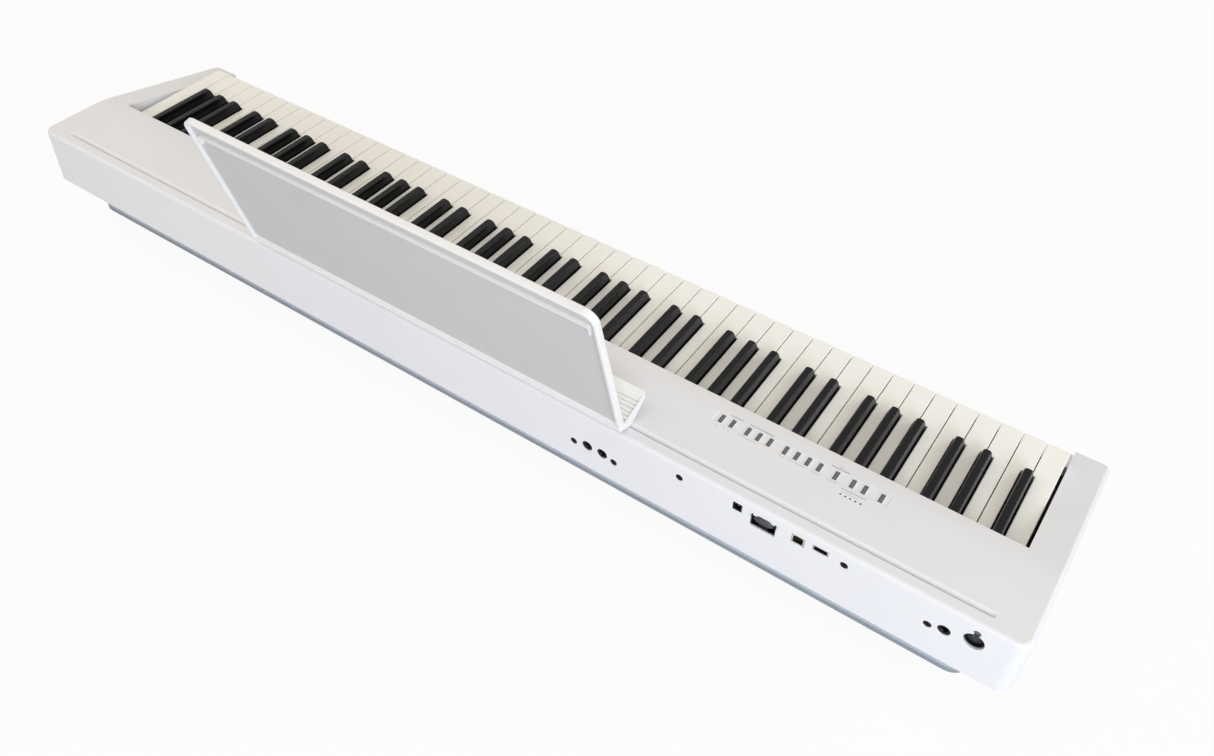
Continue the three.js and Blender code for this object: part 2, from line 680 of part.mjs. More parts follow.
// ---------------------------------------------------------------- hammers
function hammerOutline() {
  const nose = -hammerNoseReach
  const tail = hammerTailReach
  return outline([
    [nose - 4, 1], [nose - 1, -2], [-7, -4], [0, -6.5], [7, -4], [tail - 27, -3], [tail - 25, -8], [tail, -8, 2],
    [tail, 8, 2], [tail - 25, 8], [tail - 27, 3], [7, 4], [0, 6.5], [-7, 4], [nose + 5, 4], [nose + 3, 6], [nose - 3, 6],
  ], 1)
}

// A hammer about its own pivot.
function hammer() {
  const body = prismX(hammerOutline(), -hammerWidth / 2, hammerWidth / 2)
  return cut(body, rodX(0, 0, hammerBarRadius + fit, -hammerWidth, hammerWidth, 10))
}

// The hammers that stay at rest stand on the rail by a foot in place of the bar.
const restingHammer = [
  [-hammerNoseReach - 3, 0], [-4, chassisFloor + 5.5 - hammerPivotZ], [4, chassisFloor + 5.5 - hammerPivotZ],
  [hammerTailReach, -8], [hammerTailReach, 8], [-hammerNoseReach + 1, 6],
].map(([y, z]) => new THREE.Vector2(y, z))

function hammersOnRail() {
  const [x0, x1] = barEnds
  const bar = rodX(hammerPivotY, hammerPivotZ, hammerBarRadius, x0, fixedKeys[0].x, 10)
  const base = block(x0, x1, hammerPivotY - 6, hammerPivotY + 6, chassisFloor + sheet + fit, chassisFloor + 6)
  const webs = movingGapXs.map((x) => (
    block(x - webHalf, x + webHalf, hammerPivotY - 4, hammerPivotY + 4, chassisFloor + 5, hammerPivotZ + 3.5)))
  const heads = fixedKeys.map((key) => (
    prismX(restingHammer, -hammerWidth / 2, hammerWidth / 2).translate([key.x, hammerPivotY, hammerPivotZ])))
  return join(bar, base, ...webs, ...heads)
}

place(piano, 'hammers_on_hammer_rail', hammersOnRail(), finishes.hammerGrey)

// ---------------------------------------------------------------- chassis and rails
const guideRailZ = chassisFloor + 26
const whitePostY = keyFront + 19
const blackPostY = blackFront + 6.5
const hatRear = panelEdge - hatSetback
const hatFront = hatRear - 30
const hatTop = 97.7
const pivotRailZ = pivotZ - 18

function keyChassis() {
  const path = [
    [keyFront + 15, guideRailZ - fit], [keyFront + 5, guideRailZ - fit], [keyFront + 5, chassisFloor],
    [hatFront, chassisFloor], [hatFront, hatTop - sheet], [hatRear, hatTop - sheet], [hatRear, chassisFloor],
    [pivotY + 9, chassisFloor], [pivotY + 9, pivotRailZ - fit], [pivotY - 7, pivotRailZ - fit],
  ]
  return prismX(bentSheet(path, sheet), ...barEnds)
}

place(piano, 'key_chassis', keyChassis(), finishes.steel)

function whiteKeysOnGuideRail() {
  const fixed = fixedKeys.filter((key) => !key.black)
  const bevel = outline([[keyFront, keyBottom], [keyRear, keyBottom], [keyRear, keyTop], [keyFront, keyTop, 1.5]], 1)
  const bodies = join(...fixed.map((key) => prismZ(restingWhitePlan(key.i), keyBottom, keyTop)))
    .intersect(prismX(bevel, -halfWidth, halfWidth))
  const bearings = block(-halfWidth, halfWidth, pivotY - bearingRadius, pivotY + bearingRadius,
    keyBottom - 1, pivotZ + bearingRadius)
  const rail = prismX(outline([
    [keyFront + 7, guideRailZ], [hatFront - 7, guideRailZ], [hatFront - 7, chassisFloor + sheet + fit],
    [hatFront - 4, chassisFloor + sheet + fit], [hatFront - 4, guideRailZ + 3], [keyFront + 7, guideRailZ + 3],
  ]), ...barEnds)
  const whitePosts = whiteKeys.map((key) => {
    const x = jointX(key.i) - keyPitch / 2
    const top = isMoving(key) ? keyTop - 14 : keyBottom + 1
    return block(x - 3, x + 3, whitePostY - 4, whitePostY + 4, guideRailZ + 2, top)
  })
  const blackPosts = blackKeys.map((key) => {
    const top = isMoving(key) ? keyTop - 10 : keyBottom - fit
    return block(key.x - 1.8, key.x + 1.8, blackPostY - 3, blackPostY + 3, guideRailZ + 2, top)
  })
  return join(cut(bodies, bearings), rail, ...whitePosts, ...blackPosts)
}

place(piano, 'white_keys_on_guide_rail', whiteKeysOnGuideRail(), finishes.ivory)

function blackKeysOnPivotRail() {
  const bar = rodX(pivotY, pivotZ, pivotBarRadius, barEnds[0], fixedKeys[0].x, 10)
  const base = block(...barEnds, pivotY - 7, pivotY + 7, pivotRailZ, pivotRailZ + 4)
  const webs = movingGapXs.map((x) => (
    block(x - webHalf, x + webHalf, pivotY - 5, pivotY + 5, pivotRailZ + 3, pivotZ + 4)))
  const fixed = fixedKeys.filter((key) => key.black)
  const barEnd = block(fixedKeys[0].x - webHalf, fixedKeys[0].x + webHalf, pivotY - 2.5, pivotY + 2.5,
    pivotRailZ + 3, pivotZ)
  const posts = fixed.map((key) => (
    block(key.x - webHalf, key.x + webHalf, pivotY - 5, pivotY + 5, pivotRailZ + 3, keyBottom + 1)))
  return join(bar, base, barEnd, ...webs, ...posts, ...fixed.map((key) => restingBlackKey(key.x)))
}

place(piano, 'black_keys_on_pivot_rail', blackKeysOnPivotRail(), finishes.ebony)

function contactBoard() {
  const base = hatTop + fit
  const board = block(...barEnds, hatFront + 1, hatRear - 1, base, base + boardThickness)
  const domes = prismX(outline([
    [hatFront + 12, base + 1], [hatRear - 6, base + 1], [hatRear - 8, base + 5.6, 1], [hatFront + 14, base + 5.6, 1],
  ], 2), barEnds[0] + 4, barEnds[1] - 4)
  return join(board, domes)
}

place(piano, 'contact_board', contactBoard(), finishes.boardGreen)

// ---------------------------------------------------------------- the lowest octave, free to move
for (const key of movingKeys) {
  const solid = key.black ? blackKey(key.i) : whiteKey(key.i)
  const material = key.black ? finishes.ebony : finishes.ivory
  place(piano, `key_${key.name}`, solid.translate([-key.x, -pivotY, -pivotZ]), material, [key.x, pivotY, pivotZ])
  place(piano, `hammer_${key.name}`, hammer(), finishes.hammerGrey, [key.x, hammerPivotY, hammerPivotZ])
}

// ---------------------------------------------------------------- buttons
const flangeTopZ = caseHeight - wall - fit
const panelUnderside = 1.2

function button() {
  const cap = block(-buttonWidth / 2, buttonWidth / 2, -buttonLength / 2, buttonLength / 2,
    flangeTopZ - panelUnderside, recessFloor + buttonProud)
  const collar = block(-buttonWidth / 2 - 1.2, buttonWidth / 2 + 1.2, -buttonLength / 2 - 1.2, buttonLength / 2 + 1.2,
    flangeTopZ - panelUnderside, flangeTopZ)
  return join(cap, collar)
}

buttonXs.forEach((x, k) => {
  place(piano, `button_${String(k + 1).padStart(2, '0')}`, button(), finishes.buttonGrey, [x, buttonY, 0])
})

// ---------------------------------------------------------------- circuit boards with their connectors
function panelBoard() {
  const board = block(recessLow - 14, recessHigh + 14, ...panelBoardY, panelBoardZ, panelBoardZ + boardThickness)
  const switchTop = flangeTopZ - panelUnderside - buttonTravel - fit
  const switches = buttonXs.map((x) => (
    block(x - 3, x + 3, buttonY - 3, buttonY + 3, panelBoardZ + 1, switchTop)))
  return join(board, ...switches)
}

place(piano, 'panel_board', panelBoard(), finishes.boardGreen)

const wallInside = rear - wall - fit
const connector = ([x, z], [width, height], depth, [boreWidth, boreHeight]) => cut(
  block(x - width / 2, x + width / 2, wallInside - depth, wallInside, z - height / 2, z + height / 2),
  block(x - boreWidth / 2, x + boreWidth / 2, wallInside - depth + 3, wallInside + 1, z - boreHeight / 2, z + boreHeight / 2))

function mainBoard() {
  const [x0, x1] = mainBoardX
  const top = mainBoardZ + boardThickness
  const board = block(x0, x1, rear - 28, wallInside - 1, mainBoardZ, top)
  const hookClear = block(cordHookPlace[0] - 15, cordHookPlace[0] + 15, rear - 16, rear, mainBoardZ - 1, top + 1)
  const stand = (place, size) => block(place[0] - size[0] / 2, place[0] + size[0] / 2,
    wallInside - 13, wallInside, top - 1, place[1] - size[1] / 2 + 0.5)
  const chips = [[-500, 8], [-350, 12]].map(([x, size]) => (
    block(x - size, x + size, rear - 27, rear - 13, top - 0.5, top + 2)))
  return join(cut(board, hookClear),
    stand(powerInlet, [11, 11]), connector(powerInlet, [11, 11], 14, [6.6, 6.6]),
    stand(usbComputer, [12.2, 11]), connector(usbComputer, [12.2, 11], 16, [8.6, 7.8]),
    stand(usbMemory, [14.2, 7]), connector(usbMemory, [14.2, 7], 15, [12.4, 5]),
    ...chips)
}

place(piano, 'main_board', mainBoard(), finishes.boardGreen)

// A phone jack: square body, threaded nose in the panel hole and the bore for the plug.
function jack([x, z], half, noseRadius, boreRadius, y0, towards) {
  const face = y0 + towards * (wall - 1)
  const back = y0 - towards * 18
  const span = (a, b) => [Math.min(a, b), Math.max(a, b)]
  return {
    body: join(block(x - half, x + half, ...span(y0, back), z - half, z + half),
      rodY(x, z, noseRadius, ...span(y0 - towards, face), 16)),
    bore: rodY(x, z, boreRadius, ...span(back + towards * 3, face + towards), 12),
  }
}

function jackBoard(jacks, x0, x1, z0, z1, y0, towards) {
  const plateY = y0 - towards * 18
  const faces = [plateY - towards * boardThickness, plateY + towards * 0.8].sort((a, b) => a - b)
  const plate = block(x0, x1, ...faces, z0, z1)
  return cut(join(plate, ...jacks.map((one) => one.body)), ...jacks.map((one) => one.bore))
}

const jackBore = 3.3

function outputJackBoard() {
  const jacks = outputJacks.map((spot) => jack(spot, 7.5, jackHole - fit, jackBore, wallInside, 1))
  return jackBoard(jacks, -233, -195, 97, 121, wallInside, 1)
}

place(piano, 'output_jack_board', outputJackBoard(), finishes.jackBlack)

function pedalJackBoard() {
  const [x, z] = pedalSocket
  const socket = {
    body: rodY(x, z, socketHole - fit, wallInside - 18, rear - 1, 24),
    bore: rodY(x, z, socketHole - 2, wallInside - 8, rear + 1, 24),
  }
  const lever = rodY(...pedalLatch, latchHole - fit, wallInside - 18, rear - 1.2, 10)
  const solid = jackBoard([jack(pedalJack, 7.5, jackHole - fit, jackBore, wallInside, 1), socket],
    -620, -572, 106, 140, wallInside, 1)
  return join(solid, cut(lever, socket.bore))
}

place(piano, 'pedal_jack_board', pedalJackBoard(), finishes.jackBlack)

function phonesJackBoard() {
  const inside = front + wall + fit
  const jacks = [
    jack(phonesJack, 6.9, jackHole - fit, jackBore, inside, -1),
    jack(miniPhonesJack, 4.2, miniJackHole - fit, 1.8, inside, -1),
  ]
  return jackBoard(jacks, -645.4, -618.2, 84.5, 101.5, inside, -1)
}

place(piano, 'phones_jack_board', phonesJackBoard(), finishes.jackBlack)

// ---------------------------------------------------------------- cord hook
// A pocket set in the rear wall with a round-topped tongue that the adaptor cord is wound behind.
function cordHook() {
  const [x, z] = cordHookPlace
  const [width, height] = hookOpening
  const depth = 12
  const half = width / 2 - fit
  const tall = height / 2 - fit
  const shell = block(x - half, x + half, rear - depth - wall, rear - 1.8, z - tall, z + tall)
  const pocket = block(x - half + 1.2, x + half - 1.2, rear - depth - wall + 1.5, rear, z - tall + 1.2, z + tall - 1.2)
  const tongueTop = z + height / 2 + 3.6
  const arch = outline([[x - 7, z - tall], [x + 7, z - tall], [x + 7, tongueTop, 6.4], [x - 7, tongueTop, 6.4]], 5)
  const tongue = prismY(arch, rear - 1.4, rear + 0.8)
  const foot = block(x - 7, x + 7, rear - 2.4, rear, z - tall, z - tall + 2.4)
  return join(cut(shell, pocket), tongue, foot)
}

place(piano, 'cord_hook', cordHook(), finishes.jackBlack)

// ---------------------------------------------------------------- music rest
// Its own frame: the origin is the inner corner between back plate and ledge, s runs up the plate
// or out along the ledge, and the group is turned and stood in the slot afterwards.
const apexY = rear - 5
const apexZ = caseHeight + 9.5
const plateRim = 3.9
const plateSkin = 3
const heel = 2
const ledgeRim = 1.5
const rimHeight = 1.2
const restX = [restCentreX - restWidth / 2, restCentreX + restWidth / 2]

const upPlate = (s, t) => [
  apexY + s * Math.sin(restTilt) + t * Math.cos(restTilt),
  apexZ + s * Math.cos(restTilt) - t * Math.sin(restTilt),
]
const alongLedge = (s, t) => [
  apexY - s * Math.cos(ledgeRise) + t * Math.sin(ledgeRise),
  apexZ + s * Math.sin(ledgeRise) + t * Math.cos(ledgeRise),
]

// A slab leaning back, hollowed from behind, with one thin rib that turns down at both ends.
function backPlate() {
  const [x0, x1] = restX
  const length = restPlateLength
  const shape = outline([[x0, -heel], [x1, -heel], [x1, length, 14], [x0, length, 14]], 5)
  const pocket = outline([
    [x0 + plateRim, 3], [x1 - plateRim, 3],
    [x1 - plateRim, length - plateRim, 11], [x0 + plateRim, length - plateRim, 11],
  ], 5)
  const ribTop = length - 22.4
  const ribThick = 1.8
  const [ribLeft, ribRight, ribEnd] = [x0 + 9.8, x1 - 9.8, ribTop - 12]
  const rib = outline([
    [ribLeft, ribEnd], [ribLeft + ribThick, ribEnd], [ribLeft + ribThick, ribTop - ribThick, 1.5],
    [ribRight - ribThick, ribTop - ribThick, 1.5], [ribRight - ribThick, ribEnd], [ribRight, ribEnd],
    [ribRight, ribTop, 3.3], [ribLeft, ribTop, 3.3],
  ], 3)
  const plate = cut(prismZ(shape, 0, restPlateDepth), prismZ(pocket, plateSkin, restPlateDepth + 1))
  const flat = join(plate, prismZ(rib, plateSkin - 0.6, plateSkin + 3.3))
  // lay the plate's length up Z and its thickness to the rear, lean it back, stand it at the apex
  const lean = THREE.MathUtils.radToDeg(-restTilt)
  return flat.rotate([90, 0, 0]).mirror([0, 1, 0]).rotate([lean, 0, 0]).translate([0, apexY, apexZ])
}

// The grooved ledge with a rim on three sides, thick where it stands on the case, and the tongue
// below it that drops into the slot.
function restFoot() {
  const [x0, x1] = restX
  const tongueFront = slotRear - 2.6 + fit
  const tongueRear = slotRear - fit
  const top = caseHeight + fit
  const profile = outline([
    [tongueFront, caseHeight - slotDepth + fit], [tongueRear, caseHeight - slotDepth + fit], [tongueRear, top],
    [...upPlate(0.1 - heel, restPlateDepth - 0.3)], [...upPlate(2.9, restPlateDepth - 0.3)],
    [...alongLedge(-4, rimHeight)], [...alongLedge(ledgeLength, rimHeight), 1.2],
    [...alongLedge(ledgeLength, -2.4), 1.2], [slotRear - slotWidth + fit, top], [tongueFront - 2.2, caseHeight - 1.2],
  ], 2)
  const lipY = alongLedge(ledgeLength, -2.4)[0] - 0.01
  const plan = outline([[x0, rear + 20], [x0, lipY, 5], [x1, lipY, 5], [x1, rear + 20]], 4)
  const recess = outline([
    alongLedge(-8, 0), alongLedge(ledgeLength - ledgeLip, 0), alongLedge(ledgeLength - ledgeLip, 3), alongLedge(-8, 3),
  ])
  const grooves = [5.4, 9.9, 14.4, 18.9, 23.4, 27.9].map((s) => {
    const quad = [alongLedge(s - 0.9, 1), alongLedge(s - 0.9, -1.5), alongLedge(s + 0.9, -1.5), alongLedge(s + 0.9, 1)]
    return prismX(quad.map(([y, z]) => new THREE.Vector2(y, z)), x0 + ledgeRim, x1 - ledgeRim)
  })
  const pocket = outline([
    [slotRear - slotWidth + 3, top + 3.5], alongLedge(3, -4), alongLedge(ledgeLength - 3.5, -4),
    alongLedge(ledgeLength - 3, -14),
  ])
  const bays = 6
  const bay = (restWidth - wall) / bays
  const pockets = Array.from({ length: bays }, (_, k) => (
    prismX(pocket, x0 + wall + k * bay, x0 + (k + 1) * bay)))
  const foot = prismX(profile, x0, x1).intersect(prismZ(plan, 0, caseHeight + 80))
  return cut(foot, prismX(recess, x0 + ledgeRim, x1 - ledgeRim), ...grooves, ...pockets)
}

place(piano, 'music_rest', join(backPlate(), restFoot()), finishes.caseWhite)

// ---------------------------------------------------------------- frame
// The origin is under the middle of the whole piano, on the surface that its feet stand on.
const bounds = new THREE.Box3().setFromObject(piano)
const middle = bounds.getCenter(new THREE.Vector3())
piano.position.set(-middle.x, -middle.y, -bounds.min.z)

export default piano
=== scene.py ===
"""Digital piano slab with its lift-off music rest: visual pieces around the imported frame."""

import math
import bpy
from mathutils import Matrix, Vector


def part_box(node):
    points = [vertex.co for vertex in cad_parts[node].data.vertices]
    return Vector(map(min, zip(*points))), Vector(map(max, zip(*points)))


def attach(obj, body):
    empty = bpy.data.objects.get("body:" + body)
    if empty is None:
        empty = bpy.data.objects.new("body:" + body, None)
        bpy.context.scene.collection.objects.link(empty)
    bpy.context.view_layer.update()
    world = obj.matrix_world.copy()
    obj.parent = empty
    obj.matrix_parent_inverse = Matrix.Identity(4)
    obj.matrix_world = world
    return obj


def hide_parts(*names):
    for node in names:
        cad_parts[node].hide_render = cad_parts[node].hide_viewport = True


bl_info = {
    "name": "Slab digital piano",
    "version": (1, 0, 0),
    "blender": (4, 5, 0),
    "location": "View3D > Sidebar > Piano",
    "description": "Builds the case, keys, music rest, jacks and stage of a slab digital piano",
    "category": "Add Mesh",
}

import bmesh
import bpy
from mathutils import Matrix, Vector

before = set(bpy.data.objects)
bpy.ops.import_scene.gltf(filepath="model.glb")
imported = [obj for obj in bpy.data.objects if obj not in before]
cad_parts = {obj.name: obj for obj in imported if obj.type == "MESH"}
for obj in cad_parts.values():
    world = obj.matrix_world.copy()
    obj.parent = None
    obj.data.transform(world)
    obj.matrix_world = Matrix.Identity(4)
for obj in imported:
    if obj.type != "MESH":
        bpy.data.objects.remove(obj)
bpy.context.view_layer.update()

# --- sizes, in millimetres
# x to the treble end, y to the rear from the middle of the case, z up from the floor
MM = 0.001
SKIM, CLEAR = 0.02, 3  # how far a cutter's broken edge, and the cutter itself, end outside the surface
POINT = 0.02  # radius that stands for a point on the axis of a lathe shape
SHARP_ANGLE = math.radians(35)
case_low, case_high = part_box("upper_case")
CASE_Y = (case_low.y + case_high.y) / 2
HALF_WIDTH = (case_high.x - case_low.x) / 2 / MM
REAR = (case_high.y - case_low.y) / 2 / MM
CASE_TOP = case_high.z / MM
CASE_BOTTOM = case_low.z / MM
WALL = 3
TOP_SLOPE = math.radians(11.5)
CREST_Y = REAR - 90
CREST_RADIUS = 150
CREST_REACH = CREST_RADIUS * math.tan(TOP_SLOPE / 2)
REAR_CORNER, FRONT_CORNER = 14, 9
TOP_EDGE, REAR_EDGE, FRONT_EDGE = 5, 4, 6

KEY_TOP = CASE_TOP - 19
KEY_BOTTOM = KEY_TOP - 20
KEY_FRONT = -REAR + 29
PANEL_EDGE = KEY_FRONT + 151
KEY_PITCH = 23.5
WHITE_COUNT = 52
MOVING_WHITES = 7
KEYBOARD_HALF = KEY_PITCH * WHITE_COUNT / 2
CHEEK_INNER = KEYBOARD_HALF + 2.8
HEAD_END = KEY_FRONT + 50
PIVOT_Y, PIVOT_Z = PANEL_EDGE + 67, KEY_TOP - 14
KEY_REAR = PIVOT_Y + 7
TAIL_END = KEY_REAR - 24
NOTCH_CORNER = 0.8
BLACK_RISE = 12
BLACK_SLOT = 14
BLACK_OFFSET = {"A": 3.5, "C": -2.3, "D": 2.3, "F": -3.5, "G": 0.0}

SLOT_REAR = REAR - 13.5
SLOT_WIDTH, SLOT_FLOOR_WIDTH, SLOT_HALF = 6.7, 2.75, 614
SLOT_DEPTH, SLOT_STEP, SLOT_BREAK = 6, 3.1, 0.7
REST_TILT = math.radians(16)
REST_LENGTH, REST_DEPTH = 195.5, 7.5
REST_RIM, REST_SKIN, REST_HEEL = 3.9, 3, 2
LEDGE_RISE = math.radians(19)
LEDGE_LENGTH, LEDGE_LIP, LEDGE_RIM, RIM_HEIGHT = 42, 7.7, 1.5, 1.2
APEX_Y, APEX_Z = REAR - 5, CASE_TOP + 9.5

BUTTONS = [f"button_{n:02d}" for n in range(1, 14)]
OUTPUT_JACKS = [(-205, 108.5), (-223, 108.5)]
PEDAL_JACK = (-581, 119.5)
PEDAL_SOCKET = (-606.5, 125.5)
PEDAL_LATCH = (-606.5, 137.6)
POWER_INLET = (-374.4, 136.4)
USB_COMPUTER = (-437.4, 134.8)
USB_MEMORY = (-459.8, 136.8)
CORD_HOOK = (-402, 128.5)
REAR_SCREWS = [(-188.6, 105.5), (-237, 105), (-311.2, 134.2), (-483.4, 134.2), (-566.5, 116)]
PHONES_JACK, MINI_PHONES_JACK = (-625.5, 93), (-637.5, 93)
JACK_HOLE, JACK_NOSE, JACK_BORE, HOLE_BREAK = 6.1, 5.9, 3.3, 0.35


# --- colours and materials
def linear(hexcode):
    """An sRGB hex value such as "E9EAEC" as linear RGBA."""
    channels = [int(hexcode[i:i + 2], 16) / 255 for i in (0, 2, 4)]
    return [c / 12.92 if c <= 0.04045 else ((c + 0.055) / 1.055) ** 2.4 for c in channels] + [1]


def add_node(tree, kind, settings=None, links=None):
    """Adds a node, sets its properties or sockets by name, and links its inputs."""
    node = tree.nodes.new(kind)
    for key, value in (settings or {}).items():
        if isinstance(key, str) and hasattr(node, key):
            setattr(node, key, value)
        else:
            node.inputs[key].default_value = value
    for key, source in (links or {}).items():
        tree.links.new(source, node.inputs[key])
    return node


def new_material(name):
    """A material with an empty node tree."""
    material = bpy.data.materials.new(name)
    material.use_nodes = True
    material.node_tree.nodes.clear()
    return material


def mottled(name, colour, second, patch, grain, depth, rough, settings, stretch=(1, 1, 1)):
    """Two near colours in soft patches, a surface grain of a size and depth in mm, and uneven gloss."""
    tree = new_material(name).node_tree
    place = add_node(tree, "ShaderNodeTexCoord")
    spread = add_node(tree, "ShaderNodeMapping", {"Scale": stretch}, {"Vector": place.outputs["Object"]})
    patches = add_node(tree, "ShaderNodeTexNoise", {"Scale": 1 / (patch * MM), "Detail": 3.0, "Roughness": 0.55},
                       {"Vector": spread.outputs["Vector"]})
    shades = add_node(tree, "ShaderNodeMix", {"data_type": "RGBA", 6: colour, 7: second},
                      {0: patches.outputs["Fac"]})
    sand = add_node(tree, "ShaderNodeTexNoise", {"Scale": 1 / (grain * MM), "Detail": 2.0},
                    {"Vector": spread.outputs["Vector"]})
    gloss = add_node(tree, "ShaderNodeMapRange", {"To Min": rough[0], "To Max": rough[1]},
                     {"Value": sand.outputs["Fac"]})
    bump = add_node(tree, "ShaderNodeBump", {"Strength": 0.5, "Distance": depth * MM},
                    {"Height": sand.outputs["Fac"]})
    shader = add_node(tree, "ShaderNodeBsdfPrincipled", {"Base Color": colour, **settings},
                      {"Base Color": shades.outputs[2], "Roughness": gloss.outputs["Result"],
                       "Normal": bump.outputs["Normal"]})
    add_node(tree, "ShaderNodeOutputMaterial", None, {"Surface": shader.outputs["BSDF"]})


ABS, RESIN, METAL = {"IOR": 1.53}, {"IOR": 1.5}, {"Metallic": 1.0}
# name, colour or the property that holds it, second colour, patch, grain and grain depth in mm, roughness from
# and to, shader settings, and how the pattern is stretched
FINISHES = [
    # ABS from a spark-eroded tool: soft satin sheen, finest sand grain
    ("white moulded ABS", "case", "E1E2E6", 90, 0.9, 0.03, (0.36, 0.5), ABS),
    # the rest, from a smoother tool, and its hollow back with a coarser grain, whose flat light grey is painted shade
    # of the hollow
    ("white polished ABS", "EDEDEC", "E8E8E8", 70, 0.8, 0.012, (0.28, 0.4), ABS),
    ("white textured ABS", "C8C8C8", "C3C3C3", 60, 0.7, 0.06, (0.5, 0.62), ABS),
    # mica pearl on the pan; its lower edge, the faces below the flange that don't face up, has a coarser grain and a
    # darker grey that is painted shade under the case
    ("silver-grey moulded ABS", "tray", "C9CFD6", 40, 0.7, 0.03, (0.38, 0.55), {"IOR": 1.53, "Metallic": 0.1}),
    ("grey textured ABS", "8E959C", "858C93", 40, 0.9, 0.05, (0.5, 0.65), ABS),
    # key resins: silky warm white and matt black, both with faint lengthwise fibres
    ("warm white key resin", "white_keys", "F3F2EC", 16, 0.6, 0.012, (0.3, 0.42), RESIN, (1, 0.15, 1)),
    ("matt black key resin", "black_keys", "0E0E10", 3, 0.5, 0.015, (0.2, 0.28),
     {"IOR": 1.5, "Specular IOR Level": 0.19}, (1, 0.08, 1)),
    ("dark grey button ABS", "66676A", "57585B", 3, 0.4, 0.02, (0.45, 0.6), ABS),
    # glass-filled nylon: dull sockets, the insert of the pedal socket and the tongue of the cord hook, which is black
    # nylon given a dark grey that is painted reflection
    ("black moulded nylon", "0B0C0D", "121315", 2, 0.3, 0.01, (0.35, 0.5),
     {"IOR": 1.53, "Specular IOR Level": 0.14}),
    ("blue-black moulded nylon", "23262D", "2B2E36", 2, 0.3, 0.02, (0.45, 0.6), ABS),
    ("dark grey moulded nylon", "3A3B3F", "45474B", 3, 0.4, 0.01, (0.4, 0.55), RESIN),
    # pale, slightly warm mirror with a fine haze; black oxide; zinc with a grey spangle
    ("nickel plate", "E6E3DC", "DAD6CE", 2, 0.3, 0.004, (0.2, 0.34), METAL),
    ("black oxide steel", "1B1B1D", "242426", 1, 0.3, 0.01, (0.35, 0.5), {"Metallic": 0.8}),
    ("zinc-plated steel", "AEB4B8", "99A0A5", 8, 0.8, 0.01, (0.3, 0.5), METAL),
    ("grey acetal", "5E6165", "55585C", 6, 0.5, 0.01, (0.42, 0.55), {"IOR": 1.48}),
    # a faint glass weave under half gloss
    ("green solder mask", "1F5136", "27603F", 1.2, 0.4, 0.01, (0.3, 0.45), RESIN),
    # dull, with a mould bloom
    ("black rubber", "232324", "2D2D2F", 5, 0.6, 0.03, (0.7, 0.9), {"IOR": 1.52}),
    ("black speaker paper", "222225", "2C2C30", 2, 0.7, 0.08, (0.7, 0.9), RESIN),
    ("smoked acrylic", "17181A", "111214", 1, 0.3, 0.002, (0.12, 0.2), {"IOR": 1.49}),
    ("grey screen ink", "6E6F72", "78797C", 1, 0.2, 0.002, (0.5, 0.6), RESIN),
]


def materials():
    """Every finish of the piano, made once."""
    if FINISHES[0][0] not in bpy.data.materials:
        changed = bpy.context.scene.piano_colours
        for name, colour, second, *grain in FINISHES:
            first = getattr(changed, colour)[:] if hasattr(changed, colour) else linear(colour)
            mottled(name, first, linear(second), *grain)
    return bpy.data.materials


# --- solids, as closed bmeshes in millimetres
def outline(corners, steps=6):
    """A closed outline in a plane; a corner is (a, b) or (a, b, radius)."""
    points = []
    for i, corner in enumerate(corners):
        here = Vector(corner[:2])
        radius = corner[2] if len(corner) > 2 else 0
        if not radius:
            points.append(here)
            continue
        before = (Vector(corners[i - 1][:2]) - here).normalized()
        after = (Vector(corners[(i + 1) % len(corners)][:2]) - here).normalized()
        half = math.acos(max(-1, min(1, before.dot(after)))) / 2
        centre = here + (before + after).normalized() * (radius / math.sin(half))
        start = here + before * (radius / math.tan(half)) - centre
        turn = -math.copysign(math.pi - 2 * half, before.x * after.y - before.y * after.x)
        for k in range(steps + 1):
            points.append(centre + Matrix.Rotation(turn * k / steps, 2) @ start)
    return points


def rectangle(a0, a1, b0, b1, radius=0, steps=4):
    return outline([(a0, b0, radius), (a1, b0, radius), (a1, b1, radius), (a0, b1, radius)], steps)


def around(a, b, half_a, half_b, radius=0, steps=4):
    """A rectangle round the point (a, b)."""
    return rectangle(a - half_a, a + half_a, b - half_b, b + half_b, radius, steps)


def circle(a, b, radius, sides=32):
    turns = [2 * math.pi * k / sides for k in range(sides)]
    return [Vector((a + radius * math.cos(t), b + radius * math.sin(t))) for t in turns]


def loft(rings):
    """A closed skin over rings with the same count of 3D points."""
    bm = bmesh.new()
    rows = [[bm.verts.new(p) for p in ring] for ring in rings]
    count = len(rows[0])
    for low, high in zip(rows, rows[1:]):
        for i in range(count):
            j = (i + 1) % count
            bm.faces.new((low[i], low[j], high[j], high[i]))
    bm.faces.new(rows[0][::-1])
    bm.faces.new(rows[-1])
    bmesh.ops.recalc_face_normals(bm, faces=bm.faces[:])
    return bm


def lift(points, axis, height):
    """Plane points in space: (y, z) at a height along X, (x, z) along Y or (x, y) along Z."""
    k = "XYZ".index(axis)
    return [Vector((*p[:k], height, *p[k:])) for p in points]


def prism(points, axis, low, high):
    """An outline swept along an axis."""
    return loft([lift(points, axis, low), lift(points, axis, high)])


def stack(rows, shape, axis="Z"):
    """A solid through the outlines shape(grow) at each (height, grow) of the rows."""
    return loft([lift(shape(grow), axis, height) for height, grow in rows])


def block(x0, x1, y0, y1, z0, z1):
    return prism(rectangle(x0, x1, y0, y1), "Z", z0, z1)


def bar(x, z, half_x, half_z, y0, y1):
    """A block along y, round the line at (x, z)."""
    return block(x - half_x, x + half_x, y0, y1, z - half_z, z + half_z)


def turned(profile, axis, at, sides=32):
    """A lathe shape: profile is (radius, height) pairs along the axis through the point at."""
    k = "XYZ".index(axis)
    centre = at[:k] + at[k + 1:]
    return loft([lift(circle(*centre, max(r, POINT), sides), axis, at[k] + h) for r, h in profile])


